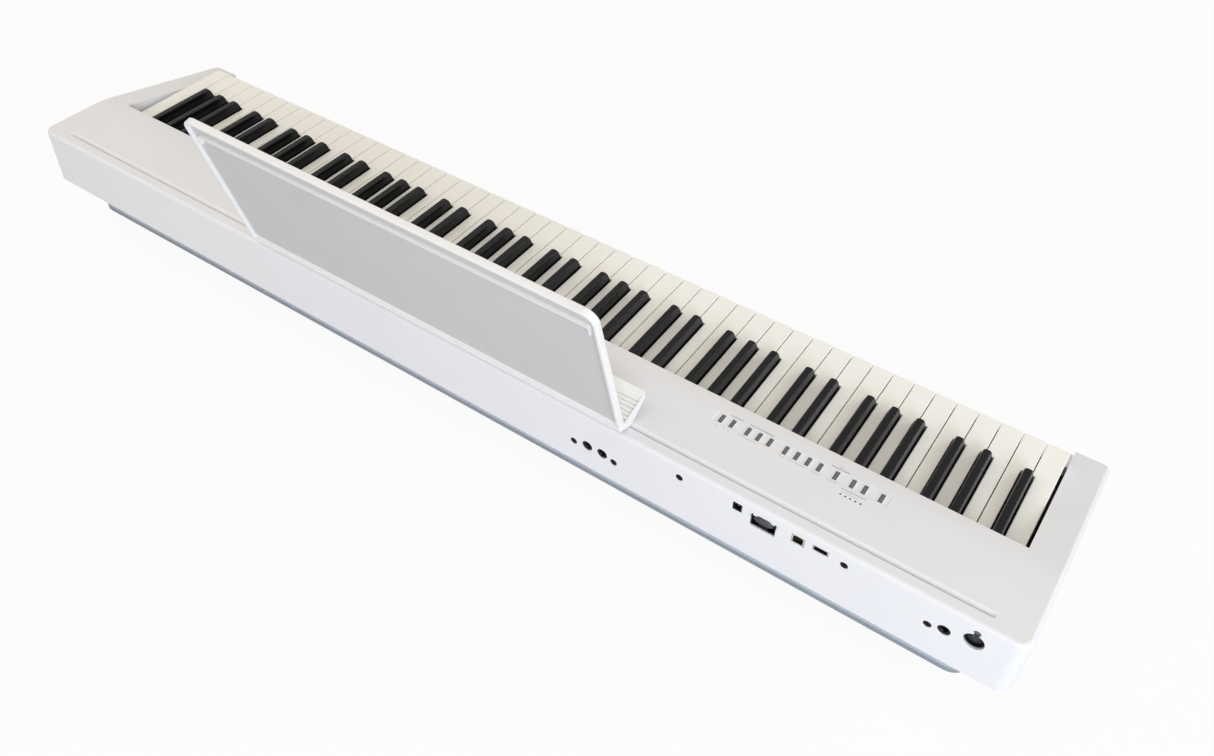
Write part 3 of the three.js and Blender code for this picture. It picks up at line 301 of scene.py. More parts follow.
def mirrored(bm, y):
    """Turns a solid end for end about the plane at y."""
    bmesh.ops.scale(bm, vec=(1, -1, 1), space=Matrix.Translation((0, -y, 0)), verts=bm.verts[:])
    bmesh.ops.recalc_face_normals(bm, faces=bm.faces[:])
    return bm


def soften(bm, radius, segments=3, pick=None, angle=30):
    """Rounds the edges sharper than the angle, or those of them that pick() takes."""
    edges = [e for e in bm.edges if len(e.link_faces) == 2 and abs(e.calc_face_angle()) > math.radians(angle)
             and (pick is None or pick(e))]
    bmesh.ops.bevel(bm, geom=edges, offset=radius, segments=segments, profile=0.5, affect="EDGES",
                    clamp_overlap=True)
    bmesh.ops.recalc_face_normals(bm, faces=bm.faces[:])
    return bm


def lowest(e):
    """Height of an edge's lower end."""
    return min(v.co.z for v in e.verts)


def foremost(e):
    """Place along y of an edge's front end."""
    return min(v.co.y for v in e.verts)


def merged(*parts):
    """Several separate solids in one bmesh."""
    whole = bmesh.new()
    for part in parts:
        mesh = bpy.data.meshes.new("part")
        part.to_mesh(mesh)
        part.free()
        whole.from_mesh(mesh)
        bpy.data.meshes.remove(mesh)
    return whole


def combine(base, tools, operation):
    """Cuts the tools out of the base, or joins them to it."""
    temporary = []

    def stand_in(bm):
        mesh = bpy.data.meshes.new("solid")
        bm.to_mesh(mesh)
        bm.free()
        obj = bpy.data.objects.new("solid", mesh)
        bpy.context.scene.collection.objects.link(obj)
        temporary.append(obj)
        return obj

    body = stand_in(base)
    for tool in tools:
        step = body.modifiers.new("step", "BOOLEAN")
        step.solver = "MANIFOLD"
        step.operation = operation
        step.object = stand_in(tool)
    bpy.context.view_layer.update()
    result = body.evaluated_get(bpy.context.evaluated_depsgraph_get())
    bm = bmesh.new()
    bm.from_mesh(result.to_mesh())
    result.to_mesh_clear()
    for obj in temporary:
        mesh = obj.data
        bpy.data.objects.remove(obj)
        bpy.data.meshes.remove(mesh)
    if not bm.faces:
        raise RuntimeError("a cut or join left nothing")
    return bm


def cut(base, *tools):
    return combine(base, tools, "DIFFERENCE")


def join(base, *tools):
    return combine(base, tools, "UNION")


def piece(name, bm, material, body="piano", replaces=()):
    """Turns a bmesh into a finished object that rides on a body."""
    bmesh.ops.transform(bm, matrix=Matrix.Translation((0, CASE_Y, 0)) @ Matrix.Scale(MM, 4), verts=bm.verts[:])
    mesh = bpy.data.meshes.new(name)
    bm.to_mesh(mesh)
    bm.free()
    mesh.shade_smooth()
    mesh.set_sharp_from_angle(angle=SHARP_ANGLE)
    obj = bpy.data.objects.new(name, mesh)
    bpy.context.scene.collection.objects.link(obj)
    obj.data.materials.append(materials()[material])
    weights = obj.modifiers.new("flat faces stay flat", "WEIGHTED_NORMAL")
    weights.keep_sharp = True
    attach(obj, body)
    if replaces:
        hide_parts(*replaces)
    return obj


def second_finish(obj, material, takes):
    """Gives a piece's faces another finish where takes(centre in mm, normal) says so."""
    obj.data.materials.append(materials()[material])
    for face in obj.data.polygons:
        if takes((face.center - Vector((0, CASE_Y, 0))) / MM, face.normal):
            face.material_index = len(obj.data.materials) - 1


def dress(node, material):
    """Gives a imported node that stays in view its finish."""
    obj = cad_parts[node]
    obj.data.materials.clear()
    obj.data.materials.append(materials()[material])


# --- case
def top_height(y):
    """Height of the moulded top: flat behind the crest, falling to the player in front of it."""
    fall = CREST_Y - y
    if fall <= -CREST_REACH:
        return CASE_TOP
    if fall >= CREST_REACH:
        return CASE_TOP - fall * math.tan(TOP_SLOPE)
    return CASE_TOP - CREST_RADIUS + math.sqrt(CREST_RADIUS ** 2 - (fall + CREST_REACH) ** 2)


def rise(radius, run):
    return math.sqrt(max(radius ** 2 - run ** 2, 0))


def case_ring(y, inset, bottom):
    """The case's section across its width at one depth."""
    half = REAR - inset
    corner = (REAR_CORNER if y > 0 else FRONT_CORNER) - inset
    lip = max((REAR_EDGE if y > 0 else FRONT_EDGE) - inset, 1)
    x = HALF_WIDTH - inset - corner + rise(corner, max(abs(y) - (half - corner), 0))
    z = top_height(y) - inset - lip + rise(lip, max(abs(y) - (half - lip), 0))
    edge = max(TOP_EDGE - inset, 1)
    return lift(outline([(-x, bottom), (x, bottom), (x, z, edge), (-x, z, edge)], 8), "Y", y)


def case_solid(inset, bottom):
    """The case's outer form, or the hollow inside it at an inset."""
    half = REAR - inset
    turn = [math.sin(math.radians(a)) for a in range(0, 91, 9)]
    stations = {round(CREST_Y + CREST_REACH * k / 4, 3) for k in range(-4, 5)}
    for radius, turns in ((REAR_CORNER - inset, turn), (max(REAR_EDGE - inset, 1), turn[::2])):
        stations |= {round(half - radius * (1 - t), 3) for t in turns}
    for radius, turns in ((FRONT_CORNER - inset, turn), (max(FRONT_EDGE - inset, 1), turn[::2])):
        stations |= {round(-half + radius * (1 - t), 3) for t in turns}
    kept = []
    for y in sorted(stations):
        if not kept or y - kept[-1] > 0.04:
            kept.append(y)
    return loft([case_ring(y, inset, bottom) for y in kept])


def slot_cutter():
    """The groove for the rest: upright behind, sloped in front, sloped ends, broken edges."""
    rows = []
    for z, grow in ((CASE_TOP - SLOT_DEPTH, 0), (CASE_TOP - SLOT_STEP, 0), (CASE_TOP - 0.5, 0),
                    (CASE_TOP + SKIM, SLOT_BREAK), (CASE_TOP + CLEAR, SLOT_BREAK)):
        up = min(max(z - CASE_TOP + SLOT_STEP, 0) / SLOT_STEP, 1)
        front = SLOT_REAR - SLOT_FLOOR_WIDTH - (SLOT_WIDTH - SLOT_FLOOR_WIDTH) * up - grow
        end = SLOT_HALF - max(CASE_TOP - z, 0) + grow
        rows.append(lift(rectangle(-end, end, front, SLOT_REAR + grow / 2), "Z", z))
    return loft(rows)


def middle(name):
    """A node's middle in plan, in mm."""
    low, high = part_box(name)
    return (low.x + high.x) / 2 / MM, ((low.y + high.y) / 2 - CASE_Y) / MM


BUTTON_SIZE, BUTTON_MARGIN, CAP_RISE = (3.8, 11), 0.3, 0.55
STRIP_END, STRIP_SIDE, STRIP_FLOOR = 7.5, 1.4, CASE_TOP - 0.5


def recess_cutters():
    """The shallow strip round the panel buttons, and the hole below each of them."""
    centres = [middle(name) for name in BUTTONS]
    x0 = min(x for x, _ in centres) - STRIP_END
    x1 = max(x for x, _ in centres) + STRIP_END
    line, reach = centres[0][1], BUTTON_SIZE[1] / 2 + STRIP_SIDE
    cutters = [stack([(STRIP_FLOOR, 0), (CASE_TOP - 0.15, 0.3), (CASE_TOP + SKIM, 0.5), (CASE_TOP + CLEAR, 0.5)],
                     lambda g: rectangle(x0 - g, x1 + g, line - reach - g, line + reach + g, 1 + g))]
    half_x, half_y = (size / 2 + BUTTON_MARGIN for size in BUTTON_SIZE)
    for x, y in centres:
        rows = [(CASE_TOP - 12, 0), (STRIP_FLOOR - 0.1, 0), (STRIP_FLOOR + SKIM, 0.1), (STRIP_FLOOR + 1, 0.1)]
        cutters.append(stack(rows, lambda g: around(x, y, half_x + g, half_y + g, 0.5 + g)))
    return cutters


def rear_hole(shape):
    """A hole through the rear wall with a broken edge; shape(grow) gives its (x, z) outline."""
    return stack([(REAR - 2 * WALL, 0), (REAR - HOLE_BREAK, 0), (REAR + SKIM, HOLE_BREAK), (REAR + CLEAR, HOLE_BREAK)],
                 shape, "Y")


def round_hole(x, z, radius):
    return rear_hole(lambda g: circle(x, z, radius + g, 40))


def square_hole(x, z, width, height, radius=0.8):
    return rear_hole(lambda g: around(x, z, width / 2 + g, height / 2 + g, radius + g))


def case_shell():
    """The upper case: open keyboard well, hollow inside, with its slot, recess and holes."""
    well = block(-CHEEK_INNER, CHEEK_INNER, -REAR - 5, PANEL_EDGE, CASE_BOTTOM - 20, CASE_TOP + 50)
    shell = cut(case_solid(0, CASE_BOTTOM), well)

    def key_well_edge(e):
        mid = (e.verts[0].co + e.verts[1].co) / 2
        on_panel = abs(mid.y - PANEL_EDGE) < 0.01 and abs(mid.x) < CHEEK_INNER and mid.z > KEY_TOP
        on_cheek = abs(abs(mid.x) - CHEEK_INNER) < 0.01 and mid.y < PANEL_EDGE and mid.z > CASE_BOTTOM + 1
        runs_level = abs(e.verts[0].co.z - e.verts[1].co.z) < 8 and mid.z > top_height(mid.y) - 8
        return on_panel or (on_cheek and runs_level)
    soften(shell, 1.2, 3, key_well_edge, 20)
    channel = block(-SLOT_HALF - WALL, SLOT_HALF + WALL, SLOT_REAR - SLOT_WIDTH - WALL, SLOT_REAR + WALL,
                    CASE_TOP - SLOT_DEPTH - WALL + 0.4, CASE_TOP)
    cheeks = [block(*sorted((s * CHEEK_INNER - s * 0.01, s * (CHEEK_INNER + WALL))), -REAR - 1, PANEL_EDGE + 20,
                    CASE_BOTTOM + 7, CASE_TOP + 5) for s in (-1, 1)]
    cavity = cut(case_solid(WALL, CASE_BOTTOM - 10), channel, *cheeks)
    x, z = CORD_HOOK
    cord_channel = prism([(x - 16.5, REAR + 0.1), (x - 13.5, REAR - 1.8), (x + 13.5, REAR - 1.8),
                          (x + 16.5, REAR + 0.1)], "Z", z + 5.5, z + 11.5)
    inside = 5 - REAR
    front_holes = [mirrored(turned([(r, 0), (r, 4.6), (r + 0.4, 5.05), (r + 0.4, 8)], "Y", (x, inside, z)), inside)
                   for (x, z), r in ((PHONES_JACK, 5.7), (MINI_PHONES_JACK, 3.6))]
    return cut(shell, cavity, slot_cutter(), *recess_cutters(),
               *[round_hole(*place, JACK_HOLE) for place in (*OUTPUT_JACKS, PEDAL_JACK)],
               round_hole(*PEDAL_SOCKET, 9.5), round_hole(*PEDAL_LATCH, 3.6),
               *[round_hole(*place, 4.0) for place in REAR_SCREWS],
               square_hole(*POWER_INLET, 9.8, 10.8), square_hole(*USB_COMPUTER, 13.6, 12.2),
               square_hole(*USB_MEMORY, 16.0, 7.6, 0.5), square_hole(*CORD_HOOK, 26, 13), cord_channel, *front_holes)


class PIANO_OT_case(bpy.types.Operator):
    """White moulded upper case with its slot, button recess and rear openings"""
    bl_idname = "piano.case"
    bl_label = "Upper case"

    def execute(self, context):
        piece("upper_case_shell", case_shell(), "white moulded ABS", replaces=["upper_case"])
        return {"FINISHED"}


# --- base
def stacked(levels):
    """Rounded rectangles (z, half x, half y, corner radius) stacked up."""
    return loft([lift(around(0, 0, half_x, half_y, r, 8), "Z", z) for z, half_x, half_y, r in levels])


SPEAKER_X, SPEAKER_OPENING, GRILLE_PITCH, PAN_BOTTOM = 470, 50, 11.5, 15


def base_pan():
    """The hollow pan, from its underside up to the flange below the case, with speaker openings and bosses."""
    outer = stacked([(15, 596, 101, 13), (15.6, 598, 103, 14), (18, 600.5, 105.5, 16), (30.2, 611.6, 116.6, 19.6),
                     (31, 612, 117, 20), (35.4, 612, 117, 20), (36, 611.4, 116.4, 19.4), (36, 607, 112, 15),
                     (77, 646.7, 138.7, 10.7), (83, 646.7, 138.7, 10.7)])
    inner = stacked([(18, 596, 101, 13), (36, 604, 109, 12), (77, 643.7, 135.7, 7.7), (84, 643.7, 135.7, 7.7)])
    openings = [turned([(SPEAKER_OPENING + 0.6, 0), (SPEAKER_OPENING, 0.7), (SPEAKER_OPENING, 5)], "Z",
                       (s * SPEAKER_X, 0, PAN_BOTTOM - 0.01), 64) for s in (-1, 1)]
    bosses = [turned([(6, 0), (6, 45.7)], "Z", (x, y, PAN_BOTTOM + 1), 24)
              for x in (-560, -280, 0, 280, 560) for y in (-92, 100)]
    return join(cut(outer, inner, *openings), *bosses)


def grille(x):
    """Slotted disc over one speaker, its slots with round ends."""
    plate = turned([(49.2, 0), (49.7, 0.5), (49.7, 2.7)], "Z", (x, 0, PAN_BOTTOM), 64)
    slots = [prism(around(x, k * GRILLE_PITCH, rise(43, abs(k * GRILLE_PITCH) + 2), 2.2, 2.1), "Z",
                   PAN_BOTTOM - 1, PAN_BOTTOM + 4) for k in range(-3, 4)]
    return cut(plate, *slots)


class PIANO_OT_base(bpy.types.Operator):
    """Silver-grey base pan with its flange, speaker grilles, speakers and rubber feet"""
    bl_idname = "piano.base"
    bl_label = "Base"

    def execute(self, context):
        pan = piece("base_pan", base_pan(), "silver-grey moulded ABS", replaces=["bottom_tray"])
        # the lower edge's faces take a darker grey: painted shade under the case
        second_finish(pan, "grey textured ABS", lambda centre, normal: centre.z < 35.9 and normal.z < 0.9 and
                      (abs(centre.x) > 597 or abs(centre.y) > 102))
        for side, sign in (("left", -1), ("right", 1)):
            piece(f"grille_{side}", grille(sign * SPEAKER_X), "silver-grey moulded ABS",
                  replaces=[f"speaker_grille_{side}"])
            dress(f"speaker_{side}", "black speaker paper")
            for end in ("front", "rear"):
                node = f"foot_{end}_{side}"
                foot = turned([(8, 0.6), (8.6, 0.2), (9.4, 0), (11.2, 0), (12.1, 0.4), (12.6, 1.2), (13, 2.4),
                               (13, 14.7)], "Z", (*middle(node), 0), 40)
                piece(f"rubber_{node}", foot, "black rubber", replaces=[node])
        return {"FINISHED"}


class PIANO_OT_front_rail(bpy.types.Operator):
    """White rail below the key fronts"""
    bl_idname = "piano.front_rail"
    bl_label = "Front rail"

    def execute(self, context):
        front, top, back = -REAR, KEY_BOTTOM - 2, KEY_FRONT - 2
        section = outline([
            (front + 3.3, CASE_BOTTOM), (front + 3, CASE_BOTTOM + 1), (front + 3, top - 9, 3),
            (front + 8, top - 4.5, 2),
            (back - 2.5, top - 3), (back - 2.5, top - 14), (back, top - 14), (back, top, 1), (front + 6, top - 1.5, 4),
            (front, top - 8, 3), (front, CASE_BOTTOM + 2, 1.5), (front + 2, CASE_BOTTOM)], 8)
        rail = prism(section, "X", -CHEEK_INNER + 0.3, CHEEK_INNER - 0.3)
        piece("key_slip", rail, "white moulded ABS", replaces=["front_rail"])
        return {"FINISHED"}


# --- keyboard
def letter(i):
    return "ABCDEFG"[i % 7]


def key_name(i, black=False):
    return f"{letter(i)}{'_sharp_' if black else ''}{(i + 5) // 7}"


def has_black(i):
    return 0 <= i < WHITE_COUNT - 1 and letter(i) in BLACK_OFFSET


def joint_x(i):
    return -KEYBOARD_HALF + (i + 1) * KEY_PITCH


def black_x(i):
    return joint_x(i) + BLACK_OFFSET[letter(i)]


def white_key(i):
    """One white key: notched plan, rounded front corners and softened top edges."""
    gap = context_sizes().key_gap / MM / 2
    left, right = joint_x(i) - KEY_PITCH + gap, joint_x(i) - gap
    tail_left = black_x(i - 1) + BLACK_SLOT / 2 if has_black(i - 1) else left
    tail_right = black_x(i) - BLACK_SLOT / 2 if has_black(i) else right
    corners = [(left, KEY_FRONT, 1.8), (right, KEY_FRONT, 1.8)]
    if tail_right < right:
        corners += [(right, HEAD_END, NOTCH_CORNER), (tail_right, HEAD_END, NOTCH_CORNER)]
    corners += [(tail_right, TAIL_END), (tail_left, TAIL_END)]
    if tail_left > left:
        corners += [(tail_left, HEAD_END, NOTCH_CORNER), (left, HEAD_END, NOTCH_CORNER)]
    body = prism(outline(corners, 5), "Z", KEY_BOTTOM, KEY_TOP)
    return soften(body, 0.9, 4, lambda e: lowest(e) > KEY_TOP - 0.01 and foremost(e) < TAIL_END - 6)


def black_key(x):
    """One black key: drafted sides, a sloped round-shouldered front and softened long edges."""
    base, top = 5.8, 3.8
    front, end, crown = HEAD_END + 0.6, PANEL_EDGE + 6, KEY_TOP + BLACK_RISE
    rings = [(KEY_BOTTOM, base, front, 1.4), (KEY_TOP - 1, base, front, 1.4),
             (KEY_TOP + 4, top + 1.25, front + 0.9, 2.4), (crown - 3.4, top + 0.8, front + 2.6, 2.8),
             (crown, top + 0.1, front + 5.2, 2.9)]
    body = loft([[Vector((x + p.x, p.y, z)) for p in
                  outline([(-half, y0, r), (half, y0, r), (half, end), (-half, end)], 5)]
                 for z, half, y0, r in rings])
    soften(body, 1.0, 4, lambda e: lowest(e) > crown - 0.01 and foremost(e) < end - 1)
    return join(body, block(x - base, x + base, end - 5, TAIL_END, KEY_BOTTOM + 0.2, KEY_TOP - 4))


def context_sizes():
    return bpy.context.scene.piano_sizes


class PIANO_OT_white_keys(bpy.types.Operator):
    """White keys: the lowest seven each on its own pivot, the rest on the guide rail"""
    bl_idname = "piano.white_keys"
    bl_label = "White keys"

    def execute(self, context):
        for i in range(MOVING_WHITES):
            node = f"key_{key_name(i)}"
            piece(f"white_{node}", white_key(i), "warm white key resin", node, [node])
        resting = range(MOVING_WHITES, WHITE_COUNT)
        keys = [white_key(i) for i in resting]
        rail = block(-KEYBOARD_HALF, KEYBOARD_HALF, KEY_FRONT + 7, -46, 88, 91)
        posts = [prism(around(joint_x(i) - KEY_PITCH / 2, KEY_FRONT + 19, 3, 4), "Z", 90.5, KEY_BOTTOM + 0.5)
                 for i in resting]
        piece("white_keys_at_rest", merged(*keys, rail, *posts), "warm white key resin",
              replaces=["white_keys_on_guide_rail"])
        return {"FINISHED"}


class PIANO_OT_black_keys(bpy.types.Operator):
    """Black keys: the lowest five each on its own pivot, the rest on the pivot rail"""
    bl_idname = "piano.black_keys"
    bl_label = "Black keys"

    def execute(self, context):
        blacks = [i for i in range(WHITE_COUNT) if has_black(i)]
        for i in blacks:
            if i < MOVING_WHITES:
                node = f"key_{key_name(i, True)}"
                piece(f"black_{node}", black_key(black_x(i)), "matt black key resin", node, [node])
        keys = [black_key(black_x(i)) for i in blacks if i >= MOVING_WHITES]
        rail = block(-KEYBOARD_HALF, KEYBOARD_HALF, PIVOT_Y - 7, PIVOT_Y + 7, PIVOT_Z - 18, PIVOT_Z - 14)
        piece("black_keys_at_rest", merged(*keys, rail), "matt black key resin",
              replaces=["black_keys_on_pivot_rail"])
        return {"FINISHED"}


class PIANO_OT_action(bpy.types.Operator):
    """Chassis, hammers and contact board inside the case"""
    bl_idname = "piano.action"
    bl_label = "Key action"

    def execute(self, context):
        dress("key_chassis", "zinc-plated steel")
        dress("contact_board", "green solder mask")
        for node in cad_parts:
            if node.startswith("hammer"):
                dress(node, "grey acetal")
        return {"FINISHED"}


# --- music rest
def rest_matrix():
    """Stands a flat plate (x, up its length, thickness to the rear) at the rest's lean."""
    s, c = math.sin(REST_TILT), math.cos(REST_TILT)
    return Matrix(((1, 0, 0, 0), (0, s, c, APEX_Y), (0, c, -s, APEX_Z), (0, 0, 0, 1)))


def along(s, t):
    """A point s out along the ledge from its inner corner and t above it, as (y, z)."""
    c, n = math.cos(LEDGE_RISE), math.sin(LEDGE_RISE)
    return APEX_Y - s * c + t * n, APEX_Z + s * n + t * c


def up(s, t):
    """A point s up the back plate from the inner corner and t behind its front face, as (y, z)."""
    n, c = math.sin(REST_TILT), math.cos(REST_TILT)
    return APEX_Y + s * n + t * c, APEX_Z + s * c - t * n


def rest_plate(x0, x1):
    """The back plate: a slab hollowed from behind, with one thin rib that turns down at both ends."""
    radius = context_sizes().rest_corner / MM
    low, top, edge = -REST_HEEL, REST_LENGTH, 1.1

    def face(grow):
        return outline([(x0 - grow, low), (x1 + grow, low), (x1 + grow, top + grow, radius + grow),
                        (x0 - grow, top + grow, radius + grow)], 14)
    rounded = [(edge * (1 - math.sin(a)), -edge * (1 - math.cos(a)))
               for a in map(math.radians, (90, 67.5, 45, 22.5, 0))]
    body = stack(rounded + [(REST_DEPTH - t, grow) for t, grow in reversed(rounded)], face)

    def hollow(grow):
        left, right, high = x0 + REST_RIM - grow, x1 - REST_RIM + grow, top - REST_RIM + grow
        return outline([(left, 3 - grow, 1.5), (right, 3 - grow, 1.5), (right, high, radius - 3),
                        (left, high, radius - 3)], 12)
    floor, rim = REST_SKIN, REST_DEPTH
    pocket = stack([(floor, -1.4), (floor + 0.25, -0.7), (floor + 0.9, -0.2), (floor + 2, 0), (rim - 0.6, 0.1),
                    (rim - 0.1, 0.45), (rim + SKIM, 0.6), (rim + CLEAR, 0.6)], hollow)
    rib_top, thick = top - 22.4, 1.8
    left, right, end = x0 + 9.8, x1 - 9.8, rib_top - 12

    def bracket(grow):
        under = rib_top - thick - grow
        return outline([(left - grow, end - grow), (left + thick + grow, end - grow),
                        (left + thick + grow, under, 1.6), (right - thick - grow, under, 1.6),
                        (right - thick - grow, end - grow), (right + grow, end - grow),
                        (right + grow, rib_top + grow, 3.4 + grow), (left - grow, rib_top + grow, 3.4 + grow)], 8)
    rib = stack([(floor - 0.6, 0.25), (floor, 0.2), (floor + 0.5, 0), (floor + 2.7, 0), (floor + 3.1, -0.15),
                 (floor + 3.3, -0.5)], bracket)
    plate = join(cut(body, pocket), rib)
    bmesh.ops.transform(plate, matrix=rest_matrix(), verts=plate.verts[:])
    bmesh.ops.recalc_face_normals(plate, faces=plate.faces[:])
    return plate


def rest_foot(x0, x1):
    """The grooved ledge with a rim on three sides, and the tongue below it that drops into the slot."""
    top = CASE_TOP + 0.3
    tongue_front, tongue_rear = SLOT_REAR - 2.3, SLOT_REAR - 0.3
    section = outline([
        (tongue_front, CASE_TOP - 5.7), (tongue_rear, CASE_TOP - 5.7), (tongue_rear, top),
        up(0.1 - REST_HEEL, REST_DEPTH - 0.4), up(2.9, REST_DEPTH - 0.4), along(-4, RIM_HEIGHT),
        along(LEDGE_LENGTH, RIM_HEIGHT) + (1.7,), along(LEDGE_LENGTH, -2.4) + (1.7,),
        (SLOT_REAR - SLOT_WIDTH + 0.3, top), (tongue_front - 2.1, CASE_TOP - 1.2),
        (tongue_front - 0.25, CASE_TOP - 2.4)], 6)
    body = prism(section, "X", x0, x1)
    soften(body, 0.5, 3, lambda e: abs(e.verts[0].co.x - e.verts[1].co.x) < 0.01)

    def across(places, a, b):
        return prism([along(*place) for place in places], "X", a, b)
    inside, rim = LEDGE_LENGTH - LEDGE_LIP, LEDGE_RIM
    recess = across([(-8, 0), (inside - 0.3, 0), (inside, 0.3), (inside + 0.2, RIM_HEIGHT - 0.2),
                     (inside + 0.5, RIM_HEIGHT + 0.01), (inside + 0.5, 4), (-8, 4)], x0 + rim, x1 - rim)
    groove = [(-0.9, 0.5), (-0.9, -1.1), (-0.5, -1.6), (0.5, -1.6), (0.9, -1.1), (0.9, 0.5)]
    grooves = [across([(s + a, t) for a, t in groove], x0 + rim + SKIM, x1 - rim - SKIM)
               for s in (5.4, 9.9, 14.4, 18.9, 23.4, 27.9)]
    bays = 6
    pitch = (x1 - x0 - WALL) / bays
    hollow = [(SLOT_REAR - SLOT_WIDTH + 3, top + 3.5), along(3, -4), along(LEDGE_LENGTH - 3.5, -4),
              along(LEDGE_LENGTH - 3, -14)]
    pockets = [prism(hollow, "X", x0 + WALL + k * pitch, x0 + (k + 1) * pitch) for k in range(bays)]
    # the ledge's two outer corners are round
    corners, radius, past = [], 6, 3
    for x, s in ((x0, 1), (x1, -1)):
        arc = [(x + s * radius * (1 - math.cos(a)), LEDGE_LENGTH - radius + radius * math.sin(a))
               for a in [math.radians(7.5 * k) for k in range(13)]]
        plan = [(x - s * past, LEDGE_LENGTH - radius), *arc, (x + s * radius, LEDGE_LENGTH + 4),
                (x - s * past, LEDGE_LENGTH + 4)]
        corners.append(loft([[Vector((a, *along(b, t))) for a, b in plan] for t in (-9, 8)]))
    return cut(body, recess, *grooves, *pockets, *corners)


class PIANO_OT_music_rest(bpy.types.Operator):
    """Lift-off music rest: rimmed back plate and grooved ledge on a foot that stands in the slot"""
    bl_idname = "piano.music_rest"
    bl_label = "Music rest"

    def execute(self, context):
        low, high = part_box("music_rest")
        x0, x1 = low.x / MM, high.x / MM
        whole = join(rest_plate(x0, x1), rest_foot(x0, x1))
        obj = piece("music_rest_moulding", whole, "white polished ABS", "music_rest", ["music_rest"])
        rearward = Vector((0, math.cos(REST_TILT), -math.sin(REST_TILT)))

        def in_hollow(centre, normal):
            depth = (centre - Vector((0, APEX_Y, APEX_Z))).dot(rearward)
            return normal.dot(rearward) > 0.5 and REST_SKIN - 0.1 < depth < REST_SKIN + 0.6 and centre.z > APEX_Z + 3
        # the hollow's floor takes the greyer finish: painted shade inside the rim
        second_finish(obj, "white textured ABS", in_hollow)
        return {"FINISHED"}


# --- panel
LAMPS = (-449.4, -454.4, -459.3, -464.6, -469.7)
INK_LOW = CASE_TOP - 0.2
# from x, to x, y and width of each printed line
INK_BARS = [(-471.5, -447, 76.2, 0.6), (-466, -449, 79.4, 0.3), (-332.2, -319.3, 56.2, 0.25),
            (-366.5, -340, 56.2, 0.25), (-446, -428, 56.2, 0.25), (-356, -336, 74.6, 0.3), (-386, -379, 74.6, 0.3),
            (-409, -390, 74.6, 0.3), (-424, -415, 74.6, 0.3), (-442, -430, 74.6, 0.3)]
INK_DOTS = [(-312, 76), (-321, 76), (-325.6, 76), (-437, 53.4)]


class PIANO_OT_panel(bpy.types.Operator):
    """Panel buttons, lamps and printed lines"""
    bl_idname = "piano.panel"
    bl_label = "Panel"

    def execute(self, context):
        def round_button(place, grow_x, grow_y, low, high):
            return prism(around(*place, BUTTON_SIZE[0] / 2 + grow_x, BUTTON_SIZE[1] / 2 + grow_y), "Z", low, high)
        centres = [middle(name) for name in BUTTONS]
        for name, place in zip(BUTTONS, centres):
            low, high = (corner.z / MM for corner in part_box(name))
            cap = round_button(place, 0, 0, low, high + CAP_RISE)
            soften(cap, 0.45, 3, lambda e: lowest(e) > CASE_TOP - 4 or abs(e.verts[0].co.z - e.verts[1].co.z) > 1)
            collar = round_button(place, 1.2, 1.2, low + 0.01, low + 1.2)
            piece(f"push_{name}", join(cap, collar), "dark grey button ABS", name, [name])
        frames = [round_button(place, 1.35, 0.8, STRIP_FLOOR - 0.3, STRIP_FLOOR + 0.42) for place in centres]
        openings = [round_button(place, BUTTON_MARGIN, BUTTON_MARGIN, STRIP_FLOOR - 2, STRIP_FLOOR + 2)
                    for place in centres]
        rims = cut(merged(*frames), *openings)
        soften(rims, 0.18, 2, lambda e: lowest(e) > STRIP_FLOOR)
        piece("button_rims", rims, "white polished ABS")
        lamps = [turned([(0.95, 0), (0.95, 1.04), (0.7, 1.14)], "Z", (x, 83.4, CASE_TOP - 1), 20) for x in LAMPS]
        piece("panel_lamps", merged(*lamps), "smoked acrylic")
        ink = [block(x0, x1, y - width / 2, y + width / 2, INK_LOW, CASE_TOP + SKIM) for x0, x1, y, width in INK_BARS]
        ink += [turned([(0.5, 0), (0.5, 0.22)], "Z", (x, y, INK_LOW), 16) for x, y in INK_DOTS]
        piece("panel_print", merged(*ink), "grey screen ink")
        dress("panel_board", "green solder mask")
        return {"FINISHED"}


# --- rear connections
WALL_INSIDE = REAR - WALL - 0.3
BOARD_LOW, BOARD_TOP = 126.6, 128.2
BOARD_GAP = 18  # from the wall to the boards that carry the jacks


def socket_shell(place, outer, nose, mouth, depth, radius=0.6, corner=0):
    """A socket's housing: wide behind the wall, narrower where it comes through it, with its mouth."""
    (x, z), face = place, REAR - 0.5
    rows = [(WALL_INSIDE - depth, outer, 0), (WALL_INSIDE - 0.1, outer, 0), (WALL_INSIDE, nose, 0),
            (face - 0.3, nose, 0), (face, nose, -0.25)]
    body = loft([lift(around(x, z, size[0] / 2 + grow, size[1] / 2 + grow, radius, 3), "Y", y)
                 for y, size, grow in rows])
    w, h = mouth[0] / 2, mouth[1] / 2
    upper = [(x + w, z + h - corner), (x + w - corner, z + h), (x - w + corner, z + h), (x - w, z + h - corner)]
    hollow = outline([(x - w, z - h), (x + w, z - h), *(upper if corner else upper[1:3])])
    return cut(body, prism(hollow, "Y", WALL_INSIDE - depth + 2, REAR + CLEAR))


def jack_body(x, z, half, nose, bore, side):
    """A plug jack: square housing, round nose in the panel hole, bore; side is 1 at the rear and -1 in front."""
    inner = side * WALL_INSIDE
    housing = soften(bar(x, z, half, half, *sorted((inner, inner - side * BOARD_GAP))), 0.5, 2)
    start, foot = inner - side, inner - side * 15.4
    collar = turned([(nose, 0), (nose, 2.9), (nose - 0.5, 3.4)], "Y", (x, start, z), 40)
    hole = turned([(bore, 0), (bore, 17.3), (bore + 0.5, 17.9), (bore + 0.5, 21)], "Y", (x, foot, z), 40)
    if side < 0:
        collar, hole = mirrored(collar, start), mirrored(hole, foot)
    return cut(join(housing, collar), hole)


